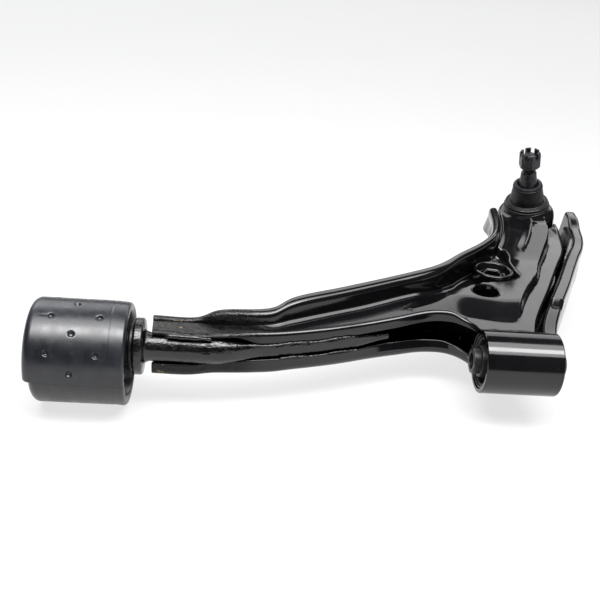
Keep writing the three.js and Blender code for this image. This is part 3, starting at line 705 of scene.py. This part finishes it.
# ---------------------------------------- weld beads
def weld(name, line, radius, pitch=3.0, squash=1.0, seed=0.0):
    """A rippled weld bead along a line of points."""
    path = Path(line, 20)
    count = max(int(path.length / 0.55), 8)
    share_at = np.linspace(0, 1, count)
    middle = path.at(share_at)
    along = path.along(share_at)
    side = unit(np.cross(along, (0.0, 0.0, 1.0)))
    up = np.cross(side, along)
    angle = np.arange(28) * TURN / 28
    run = (share_at * path.length)[:, None]
    ripple = 0.5 + 0.5 * np.cos(TURN * (run - 0.9 * np.cos(angle)[None, :]) / pitch)
    ends = np.sqrt(np.clip(np.minimum(run, path.length - run) / radius, 0.02, 1))
    uneven = ragged(middle[:, :1], middle[:, 1:2], middle[:, 2:3], 11.0, seed)
    size = radius * ends * (0.82 + 0.10 * ripple**2 + 0.34 * uneven)
    points = middle[:, None] + (size * np.cos(angle))[..., None] * side[:, None]
    points = points + (size * np.sin(angle) * squash)[..., None] * up[:, None]
    return capped_tube(name, points, middle[0], middle[-1])


def along_eye(degrees, radius, start, end):
    """A line along the front eye's outside at that angle."""
    reach = EYE_RADIUS + 0.2 * radius
    angle = math.radians(degrees)
    return [(x, reach * math.cos(angle), reach * math.sin(angle)) for x in np.linspace(start, end, 5)]


def along_mouth(start, end, stand_off, z):
    """A slightly wandering line along the leg's open side."""
    x = np.linspace(start, end, 14)
    return [(a, float(near_y(a)) - stand_off, z + 0.5 * math.sin(a * 0.17)) for a in x]


# ---------------------------------------- ball joint
def ball_arc(radius, start, end, steps):
    """Corners along an arc round the ball's centre, by angle from the stud's axis."""
    angle = np.radians(np.linspace(start, end, steps + 1))
    return [(radius * math.sin(a), radius * math.cos(a) - BALL_BELOW) for a in angle]


def ball_stud():
    """Ball, waist, taper and an M12 thread, in one turned piece."""
    thread_low, thread_high, pitch = 54.6, 72.0, 1.25

    def cut_thread(radius, angle, height):
        phase = ((height - angle / TURN * pitch) / pitch) % 1
        tooth = np.abs(phase - 0.5) * 2
        ends = [(thread_low, 0), (thread_low + 1, 1), (thread_high - 0.6, 1), (thread_high, 0)]
        where = ramp(height, ends)
        on_side = (radius > 5.6) & (height > thread_low)
        return radius - np.where(on_side, 0.62 * tooth * where, 0), height

    corners = [(0, -BALL_BELOW - BALL_RADIUS)] + ball_arc(BALL_RADIUS, 172, 32, 28)
    corners += [(6.0, 10.5, 4), (6.0, 27, 3), (7.0, 31, 3), (9.2, 37.8, 1.5), (9.4, 39, 1)]
    corners += [(7.6, 53.5, 0.6), (6, 54.4, 0.4)]
    corners += [(6, h) for h in np.arange(55, 72.3, 0.2)]
    corners += [(6, 72.5, 0.4), (5, 73.8, 0.6), (0, 74.6)]
    return turned("ball_stud_turned", STUD_LINE, corners, 72, 4, closed=False, shift=cut_thread)


def castle_nut():
    """The nut is cut upright at the origin, then set on the stud."""
    upright = Axis((0, 0, 0), (0, 0, 1), (1, 0, 0))
    corner = NUT_FLATS / math.sqrt(3)
    ring = []
    for h in (-0.01, NUT_HEIGHT + 0.01):
        for k in range(6):
            ring.append(upright.place(corner, TURN * (k + 0.5) / 6, h))
    faces = [[0, 5, 4, 3, 2, 1], [6, 7, 8, 9, 10, 11]]
    faces += [[k, (k + 1) % 6, 6 + (k + 1) % 6, 6 + k] for k in range(6)]
    nut = face_outwards(make_object("castle_nut_cut", np.array(ring), faces))
    blank = turned("blank", upright, [
        (0, 0), (8.8, 0), (corner + 0.2, 2.2, 1), (corner + 0.2, NUT_HEIGHT - 3.2, 2),
        (corner - 1, NUT_HEIGHT - 0.6, 1.2), (corner - 2.2, NUT_HEIGHT, 0.8), (0, NUT_HEIGHT),
    ], 98, 4, closed=False)
    combine(nut, blank, "INTERSECT")
    bore = turned("bore", upright, [
        (0, -1), (NUT_BORE, -1), (NUT_BORE, NUT_HEIGHT - SLOT_DEPTH + 0.7),
        (NUT_BORE + 1, NUT_HEIGHT - SLOT_DEPTH + 0.7), (NUT_BORE + 1, NUT_HEIGHT + 1), (0, NUT_HEIGHT + 1),
    ], 64, closed=False)
    combine(nut, bore, "DIFFERENCE")
    for k in range(3):
        angle = TURN * k / 6
        along = np.array([math.cos(angle), math.sin(angle), 0])
        beside = np.array([-math.sin(angle), math.cos(angle), 0])
        floor = NUT_HEIGHT - SLOT_DEPTH + SLOT_WIDTH / 2
        section = [(SLOT_WIDTH / 2 * math.cos(a), floor + SLOT_WIDTH / 2 * math.sin(a))
                   for a in np.radians(np.linspace(180, 360, 13))]
        section = [(-SLOT_WIDTH / 2, floor + 12), *section, (SLOT_WIDTH / 2, floor + 12)]
        points = [along * e + beside * u + np.array([0, 0, h]) for e in (-16, 16) for u, h in section]
        count = len(section)
        sides = [[j, (j + 1) % count, count + (j + 1) % count, count + j] for j in range(count)]
        sides += [list(range(count)), list(range(2 * count - 1, count - 1, -1))]
        combine(nut, face_outwards(make_object("slot", np.array(points), sides)), "DIFFERENCE")
    seat_on_stud = Matrix((STUD_LINE.u, STUD_LINE.v, STUD_LINE.w)).transposed().to_4x4()
    lift = Matrix.Translation(END_CENTRE * MM + STUD_AXIS * NUT_BOTTOM * MM)
    nut.data.transform(lift @ seat_on_stud)
    return nut


BOOT_BASE = HOUSING_TOP + 0.2
BOOT_CUT = BOOT_BASE + 10.5


def boot_half(name, keep_low):
    """One half of the rubber boot; the halves meet on a straight stretch of its wall."""
    b = BOOT_BASE
    outside = rounded([
        (18, b), (23, b, 0.8), (23.3, b + 1.6, 0.8), (20.8, b + 2.3, 0.6), (20.4, b + 4.4, 0.8),
        (17.2, b + 5.4, 1), (16.9, b + 11, 5), (14.9, b + 21.4, 1.2), (14.6, b + 22.0, 0.5),
        (14.6, b + 23.0, 0.5), (14.9, b + 23.8, 0.6), (14.0, b + 25.6, 1.2), (11.2, b + 26.0, 0.6),
        (10.6, b + 25.0),
    ], 6)
    inside = rounded([
        (10.6, b + 25.0), (10.4, b + 22.6, 1), (13.0, b + 20.4, 1), (15.2, b + 10, 3),
        (15.6, b + 5.6, 1.5), (18, b),
    ], 6)[1:-1]

    def kept(line):
        out = []
        for p, q in zip(line, line[1:]):
            if (p[1] <= BOOT_CUT) == keep_low:
                out.append(tuple(p))
            if (p[1] - BOOT_CUT) * (q[1] - BOOT_CUT) < 0:
                t = (BOOT_CUT - p[1]) / (q[1] - p[1])
                out.append((p[0] + t * (q[0] - p[0]), BOOT_CUT))
        if (line[-1][1] <= BOOT_CUT) == keep_low:
            out.append(tuple(line[-1]))
        return out

    return turned(name, STUD_LINE, kept(outside) + kept(inside), 144)


def wire_ring(name, radius, wire, height):
    turns = np.arange(12) * TURN / 12
    circle = [(radius + wire * math.cos(t), height + wire * math.sin(t)) for t in turns]
    return turned(name, STUD_LINE, circle, 128)


# ---------------------------------------- materials
class Finish:
    """A procedural material in the object's own coordinates; sizes are in millimetres."""

    def __init__(self, name, roughness=0.5, metallic=0.0, level=0.5):
        self.material = bpy.data.materials.new(name)
        self.material.use_nodes = True
        self.nodes = self.material.node_tree.nodes
        self.links = self.material.node_tree.links
        self.shader = self.nodes["Principled BSDF"]
        self.shader.inputs["Roughness"].default_value = roughness
        self.shader.inputs["Metallic"].default_value = metallic
        self.shader.inputs["Specular IOR Level"].default_value = level
        self.where = self.nodes.new("ShaderNodeTexCoord").outputs["Object"]
        self.normal = None

    def noise(self, size, detail=3.0, stretch=None):
        node = self.nodes.new("ShaderNodeTexNoise")
        node.inputs["Scale"].default_value = 1 / (size * MM)
        node.inputs["Detail"].default_value = detail
        source = self.where
        if stretch:
            mapping = self.nodes.new("ShaderNodeMapping")
            mapping.inputs["Scale"].default_value = stretch
            self.links.new(source, mapping.inputs["Vector"])
            source = mapping.outputs["Vector"]
        self.links.new(source, node.inputs["Vector"])
        return node.outputs["Fac"]

    def along_x(self):
        node = self.nodes.new("ShaderNodeSeparateXYZ")
        self.links.new(self.where, node.inputs["Vector"])
        return node.outputs["X"]

    def cells(self, size):
        node = self.nodes.new("ShaderNodeTexVoronoi")
        node.inputs["Scale"].default_value = 1 / (size * MM)
        self.links.new(self.where, node.inputs["Vector"])
        return node.outputs["Distance"]

    def remap(self, value, start, end, low, high):
        node = self.nodes.new("ShaderNodeMapRange")
        node.interpolation_type = "SMOOTHSTEP"
        self.links.new(value, node.inputs["Value"])
        for name, number in (("From Min", start), ("From Max", end), ("To Min", low), ("To Max", high)):
            node.inputs[name].default_value = number
        return node.outputs["Result"]

    def times(self, a, b):
        node = self.nodes.new("ShaderNodeMath")
        node.operation = "MULTIPLY"
        self.links.new(a, node.inputs[0])
        self.links.new(b, node.inputs[1])
        return node.outputs["Value"]

    def blend(self, factor, first, second):
        """Mixes two colours, each a socket or a tuple."""
        node = self.nodes.new("ShaderNodeMix")
        node.data_type = "RGBA"
        self.links.new(factor, node.inputs[0])
        for socket, colour in ((node.inputs[6], first), (node.inputs[7], second)):
            if isinstance(colour, tuple):
                socket.default_value = (*colour, 1)
            else:
                self.links.new(colour, socket)
        return node.outputs[2]

    def mix(self, factor, first, second):
        """Mixes two plain values, each from a socket."""
        node = self.nodes.new("ShaderNodeMix")
        node.data_type = "FLOAT"
        for number, socket in ((0, factor), (2, first), (3, second)):
            self.links.new(socket, node.inputs[number])
        return node.outputs[0]

    def colour(self, socket):
        self.links.new(socket, self.shader.inputs["Base Color"])
        return self

    def roughness(self, socket):
        self.links.new(socket, self.shader.inputs["Roughness"])
        return self

    def bump(self, value, height):
        node = self.nodes.new("ShaderNodeBump")
        node.inputs["Strength"].default_value = 1.0
        node.inputs["Distance"].default_value = height * MM
        self.links.new(value, node.inputs["Height"])
        if self.normal:
            self.links.new(self.normal, node.inputs["Normal"])
        self.normal = node.outputs["Normal"]
        self.links.new(self.normal, self.shader.inputs["Normal"])
        return self


def gloss_paint():
    """Stoved gloss black: sheet waviness, orange peel, faint smears and a little dust.
    Round the mouth of the leg it is rough over the pin's weld, with a few rust flecks."""
    f = Finish("gloss_black_paint", level=0.55)
    clouds = f.remap(f.noise(60, 4), 0.35, 0.65, 0, 1)
    tone = f.blend(clouds, (0.0016, 0.0016, 0.0019), (0.0042, 0.0042, 0.0048))
    dust = f.times(f.remap(f.cells(5.5), 0.05, 0.012, 0, 0.5), f.remap(f.noise(35, 2), 0.5, 0.62, 0, 1))
    mouth = f.remap(f.along_x(), -190 * MM, -225 * MM, 0, 1)
    pin_weld = f.remap(f.along_x(), -247 * MM, -252 * MM, 0, 1)
    fleck = f.times(f.remap(f.noise(5, 3), 0.655, 0.70, 0, 0.7), pin_weld)
    f.colour(f.blend(fleck, f.blend(dust, tone, (0.16, 0.155, 0.15)), (0.23, 0.15, 0.06)))
    smooth = f.remap(f.noise(26, 5, (1, 1, 2.5)), 0.3, 0.72, 0.07, 0.17)
    f.roughness(f.mix(mouth, smooth, f.remap(f.noise(5, 4), 0.3, 0.7, 0.18, 0.5)))
    f.links.new(f.remap(mouth, 0, 1, 0.55, 0.3), f.shader.inputs["Specular IOR Level"])
    f.bump(f.times(f.noise(3.4, 3), mouth), 0.8)
    f.bump(f.noise(34, 1.5), 0.12)
    f.bump(f.noise(2.6, 2), 0.010)
    return f.material


def rough_paint():
    """Black paint over a forged or welded surface: lumpy and glossy, with a few rust flecks."""
    f = Finish("rough_black_paint", level=0.6)
    clouds = f.remap(f.noise(7, 4), 0.4, 0.65, 0, 1)
    tone = f.blend(clouds, (0.0018, 0.0018, 0.0022), (0.006, 0.006, 0.0066))
    fleck = f.times(f.remap(f.noise(5, 3), 0.66, 0.71, 0, 1), f.remap(f.noise(38, 1), 0.56, 0.62, 0, 1))
    f.colour(f.blend(fleck, tone, (0.23, 0.15, 0.06)))
    f.roughness(f.remap(f.noise(4, 4), 0.3, 0.7, 0.06, 0.26))
    f.bump(f.noise(9, 2), 0.5)
    f.bump(f.noise(1.7, 3), 0.36)
    return f.material


def satin_paint():
    """Satin black on turned steel."""
    f = Finish("satin_black_paint", level=0.5)
    clouds = f.remap(f.noise(14, 4), 0.35, 0.65, 0, 1)
    f.colour(f.blend(clouds, (0.006, 0.006, 0.007), (0.014, 0.014, 0.015)))
    f.roughness(f.remap(f.noise(9, 4), 0.3, 0.7, 0.24, 0.40))
    f.bump(f.noise(3.0, 3), 0.03)
    return f.material


def bush_rubber():
    """Blue-black moulded rubber with a satin bloom."""
    f = Finish("bushing_rubber", level=0.62)
    clouds = f.remap(f.noise(22, 5), 0.3, 0.7, 0, 1)
    tone = f.blend(clouds, (0.0075, 0.008, 0.0105), (0.013, 0.0138, 0.0175))
    bloom = f.times(f.remap(f.noise(6, 5), 0.56, 0.78, 0, 0.5), f.remap(f.noise(50, 2), 0.4, 0.6, 0.2, 1))
    f.colour(f.blend(bloom, tone, (0.034, 0.036, 0.042)))
    f.roughness(f.remap(f.noise(18, 5, (2.2, 1, 1)), 0.3, 0.7, 0.25, 0.36))
    f.bump(f.noise(1.1, 3), 0.022)
    f.bump(f.noise(26, 2), 0.10)
    return f.material


def boot_rubber():
    """Smooth matt black rubber, a little greasy."""
    f = Finish("boot_rubber", level=0.26)
    clouds = f.remap(f.noise(9, 4), 0.35, 0.65, 0, 1)
    f.colour(f.blend(clouds, (0.005, 0.0052, 0.006), (0.010, 0.0102, 0.0115)))
    f.roughness(f.remap(f.noise(7, 4), 0.3, 0.7, 0.36, 0.55))
    f.bump(f.noise(0.9, 3), 0.014)
    return f.material


def dark_steel(name, low, high, rough, metallic):
    """Phosphated steel: mottled crystals over faint turning marks."""
    f = Finish(name, metallic=metallic, level=0.5)
    f.colour(f.blend(f.remap(f.noise(3.2, 5), 0.35, 0.68, 0, 1), low, high))
    f.roughness(f.remap(f.noise(2.2, 4), 0.3, 0.7, *rough))
    f.bump(f.noise(0.7, 3), 0.02)
    f.bump(f.noise(5, 2), 0.03)
    return f.material


def polymer():
    """Plain bearing polymer, never seen from outside."""
    f = Finish("bearing_polymer", level=0.5)
    f.colour(f.blend(f.noise(8, 3), (0.52, 0.50, 0.44), (0.60, 0.58, 0.52)))
    f.roughness(f.remap(f.noise(6, 3), 0.3, 0.7, 0.4, 0.6))
    return f.material


PAINT = gloss_paint()
ROUGH = rough_paint()
SATIN = satin_paint()
BUSH = bush_rubber()
BOOT = boot_rubber()
STEEL = dark_steel("phosphated_steel", (0.010, 0.010, 0.012), (0.030, 0.030, 0.034), (0.32, 0.48), 0.45)
SLEEVE_STEEL = dark_steel("sleeve_steel", (0.012, 0.012, 0.013), (0.028, 0.028, 0.03), (0.3, 0.46), 0.4)
POLYMER = polymer()


# ---------------------------------------- plain turned parts
def link_seat():
    """The dished seat for the stabiliser link."""
    top, bore, outside = SEAT_TOP, SEAT_BORE, SEAT_RADIUS
    return turned("link_seat_dish", SEAT_LINE, [
        (bore, top - 4.6, 0.5), (bore + 1.8, top - 4.6, 0.5), (bore + 2.4, top - 6, 0.6),
        (outside - 6, top - 6, 2), (outside - 3, top, 1.4), (outside, top, 1.3), (outside, top - 14, 1),
        (outside - 2.5, top - 14, 0.5), (outside - 3, top - 9, 1), (bore, top - 9, 0.4),
    ])


def pipe(name, axis, bore, radius, half, edges, segments, steps=5):
    """A plain tube centred on the axis' origin; edges are the roundings inside and outside."""
    inner, outer_edge = edges
    return turned(name, axis, [
        (bore, -half, inner), (radius, -half, outer_edge), (radius, half, outer_edge), (bore, half, inner),
    ], segments, steps)


def front_eye():
    return pipe("front_eye_tube", ALONG_X, EYE_BORE, EYE_RADIUS, EYE_HALF, (0.4, 1.1), 192, 6)


def front_bush_shell():
    bore = SHELL_RADIUS - SHELL_WALL
    return pipe("front_bush_can", ALONG_X, bore, SHELL_RADIUS, SHELL_HALF, (0.5, 0.6), 160)


def front_sleeve():
    return pipe("front_sleeve_turned", ALONG_X, SLEEVE_BORE, SLEEVE_RADIUS, SLEEVE_HALF, (0.6, 0.9), 128)


def front_bush_rubber():
    """Rubber between shell and sleeve, with an annular groove in each end."""
    outside = SHELL_RADIUS - SHELL_WALL - 0.02
    inside = SLEEVE_RADIUS + 0.05
    end = SHELL_HALF
    one_end = [
        (outside, end - 0.6, 0.6), (outside - 2.2, end - 1.4, 1.4), (outside - 3.4, end - 7, 2.2),
        (inside + 3.6, end - 7, 2.2), (inside + 2.2, end + 1.6, 1), (inside, end + 2, 0.4),
    ]
    other_end = [(radius, -height, edge) for radius, height, edge in one_end[::-1]]
    return turned("front_bush_moulding", ALONG_X, one_end + other_end, 160)


def rear_sleeve():
    """The rear bushing's steel sleeve, with a flange against the pin's collar."""
    bore, seat, left = PIN_STUB + 0.1, PIN_RADIUS + 0.1, PIN_LEFT - 1
    step = PIN_STEP - 0.4
    return turned("rear_sleeve_turned", PIN_LINE, [
        (bore, left, 0.5), (REAR_SLEEVE_RADIUS, left, 0.8), (REAR_SLEEVE_RADIUS, REAR_FLANGE_LEFT, 0.8),
        (REAR_FLANGE_RADIUS, REAR_FLANGE_LEFT, 0.8), (REAR_FLANGE_RADIUS, REAR_FLANGE_RIGHT, 0.8),
        (seat, REAR_FLANGE_RIGHT, 0.5), (seat, step), (bore, step),
    ], 128)


def ball_housing():
    """The pressed-in housing with its flange, open inside round the ball."""
    cavity = BALL_RADIUS + 2 * FIT + 3
    cap_ledge = HOUSING_BOTTOM + 3.4
    flange_foot = CUP_TOP + 0.1
    return turned("ball_housing_turned", STUD_LINE, [
        (17.4, cap_ledge), (17.4, HOUSING_BOTTOM, 0.6), (HOUSING_RADIUS, HOUSING_BOTTOM, 1),
        (HOUSING_RADIUS, flange_foot), (FLANGE_RADIUS, flange_foot, 0.3), (FLANGE_RADIUS, HOUSING_TOP, 0.9),
        (16.6, HOUSING_TOP, 0.4), *ball_arc(cavity, 55, 90, 6), (cavity, cap_ledge),
    ], 144)


def housing_cap():
    """The pressed cap that closes the housing from below."""
    return turned("housing_cap_pressed", STUD_LINE, [
        (0, -35.4), (15.6, -35.4, 1), (17.2, -33.6, 0.8), (17.2, -33.0, 0.3), (12, -32, 1), (0, -32),
    ], 96, closed=False)


# ---------------------------------------- assembly
def place(obj, body, material, slot, node, angle=38):
    """Gives a piece its material and its body, and hides the CAD node that it stands for. The slot argument
    is not used.
    """
    obj.data.materials.clear()
    obj.data.materials.append(material)
    obj.data.shade_smooth()
    obj.data.set_sharp_from_angle(angle=math.radians(angle))
    if body:
        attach(obj, body)
    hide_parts(node)
    return obj


place(lower_stamping(), "arm", PAINT, "gloss_black_paint", "lower_channel")
place(cover_plate(), "arm", PAINT, "gloss_black_paint", "cover_plate")
place(link_seat(), "arm", PAINT, "gloss_black_paint", "link_seat")
place(front_eye(), "arm", PAINT, "gloss_black_paint", "front_eye")
place(front_bush_shell(), "arm", SATIN, "phosphated_steel", "front_bush_shell")
place(front_bush_rubber(), "arm", BOOT, "black_rubber", "front_bush_rubber")
place(front_sleeve(), "front_sleeve", SLEEVE_STEEL, "phosphated_steel", "front_bush_sleeve")

# CAD node, line, radius, ripple pitch, squash and seed of each weld bead
WELDS = [
    ("weld_eye_upper", along_eye(42, 2.4, -25, 14), 2.4, 3.2, 0.8, 0.0),
    ("weld_eye_lower", along_eye(-55, 2.4, -24, 22), 2.4, 3.2, 1.0, 0.0),
    ("weld_pin_end", [(-273, -9.0, 12.6), (-256, -9.4, 12.4), (-238, -9.0, 11.6)], 2.0, 2.6, 1.0, 0.0),
    ("weld_pin_upper", along_mouth(-222, -126, 0.2, 4.6), 1.5, 4.1, 0.7, 0.0),
    ("weld_pin_lower", along_mouth(-186, -122, 0.0, -8.0), 1.4, 4.3, 0.7, 1.3),
]
for node, *shape in WELDS:
    place(weld(node + "_bead", *shape), "arm", ROUGH, "gloss_black_paint", node)

place(rear_pin(), "arm", ROUGH, "satin_black_steel", "rear_pin")
place(rear_sleeve(), "arm", SATIN, "satin_black_steel", "rear_bush_sleeve")
place(rear_rubber(), "rear_bush", BUSH, "bushing_rubber", "rear_bush_rubber", 50)

place(ball_housing(), "arm", SATIN, "satin_black_steel", "ball_joint_housing")
place(ball_stud(), "stud", STEEL, "phosphated_steel", "ball_stud")
place(castle_nut(), "stud", STEEL, "phosphated_steel", "castle_nut", 30)
place(housing_cap(), "arm", SATIN, "phosphated_steel", "housing_cap")

lower_boot = place(boot_half("dust_boot_lower", True), None, BOOT, "black_rubber", "dust_boot")
upper_boot = place(boot_half("dust_boot_upper", False), None, BOOT, "black_rubber", "dust_boot")


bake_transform(lower_boot)
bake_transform(upper_boot)
lower_clip = wire_ring("boot_lower_clip", 21.3, 0.75, BOOT_BASE + 3.8)
upper_clip = wire_ring("boot_upper_clip", 14.75, 0.45, BOOT_BASE + 22.5)
place(lower_clip, "arm", SATIN, "phosphated_steel", "boot_lower_ring")
place(upper_clip, "stud_collar", SATIN, "phosphated_steel", "boot_upper_ring")

for name in ("ball_seat", "pressure_plate", "preload_spring"):
    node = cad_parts[name]
    node.data.materials.clear()
    node.data.materials.append(STEEL if name == "preload_spring" else POLYMER)


# ---------------------------------------- studio
def backdrop():
    """A softly lit white table, far larger than the view."""
    f = Finish("studio_floor", roughness=0.8, level=0.2)
    f.colour(f.blend(f.noise(300, 2), (0.17, 0.17, 0.17), (0.19, 0.19, 0.19)))
    f.shader.inputs["Emission Color"].default_value = (1, 1, 1, 1)
    f.shader.inputs["Emission Strength"].default_value = 0.72
    low = cad_box[0][2] / MM - 0.4
    reach = 40000
    corners = [(-reach, -reach, low), (reach, -reach, low), (reach, reach, low), (-reach, reach, low)]
    floor = make_object("studio_floor", corners, [[0, 1, 2, 3]])
    floor.data.materials.append(f.material)


def softbox(name, location, target, width, depth, radiance, colour=(1, 1, 1)):
    """A soft area light; radiance is what its surface shows."""
    data = bpy.data.lights.new(name, "AREA")
    data.shape = "RECTANGLE"
    data.size, data.size_y = width, depth
    data.energy = radiance * math.pi * width * depth
    data.color = colour
    lamp = bpy.data.objects.new(name, data)
    bpy.context.scene.collection.objects.link(lamp)
    lamp.location = location
    lamp.rotation_euler = (Vector(target) - Vector(location)).to_track_quat("-Z", "Y").to_euler()
    lamp.visible_camera = False
    return lamp


backdrop()
softbox("overhead", (-0.10, -0.285, 1.35), (-0.10, -0.285, 0), 2.0, 1.19, 5.5)
softbox("overhead_core", (-0.10, -0.36, 1.33), (-0.10, -0.36, 0), 1.8, 0.36, 12.0)
softbox("far_wall", (0.0, 3.2, 1.95), (0, 0, 0.05), 6.8, 1.9, 1.8)
softbox("far_window", (-1.5, 2.6, 2.2), (0, 0.2, 0), 0.8, 0.9, 4.5, (0.84, 0.92, 1.0))

world = bpy.data.worlds.new("studio")
world.use_nodes = True
world.node_tree.nodes["Background"].inputs["Color"].default_value = (0.92, 0.96, 1.0, 1)
world.node_tree.nodes["Background"].inputs["Strength"].default_value = 0.06
bpy.context.scene.world = world
bpy.context.scene.view_settings.view_transform = "Standard"

yaw, pitch, roll = (math.radians(a) for a in (4.13, 25.95, 4.99))
forward = Vector((math.sin(yaw) * math.cos(pitch), math.cos(yaw) * math.cos(pitch), -math.sin(pitch)))
level_right = Vector((math.cos(yaw), -math.sin(yaw), 0))
level_up = level_right.cross(forward)
right = math.cos(roll) * level_right + math.sin(roll) * level_up
up = -math.sin(roll) * level_right + math.cos(roll) * level_up
camera_data = bpy.data.cameras.new("camera")
camera_data.lens = 51.606
camera_data.clip_start = 0.02
camera_data.clip_end = 100
camera = bpy.data.objects.new("camera", camera_data)
bpy.context.scene.collection.objects.link(camera)
turn = Matrix((right, up, -forward)).transposed().to_4x4()
camera.matrix_world = Matrix.Translation((-0.2157, -0.5768, 0.3257)) @ turn
bpy.context.scene.camera = camera
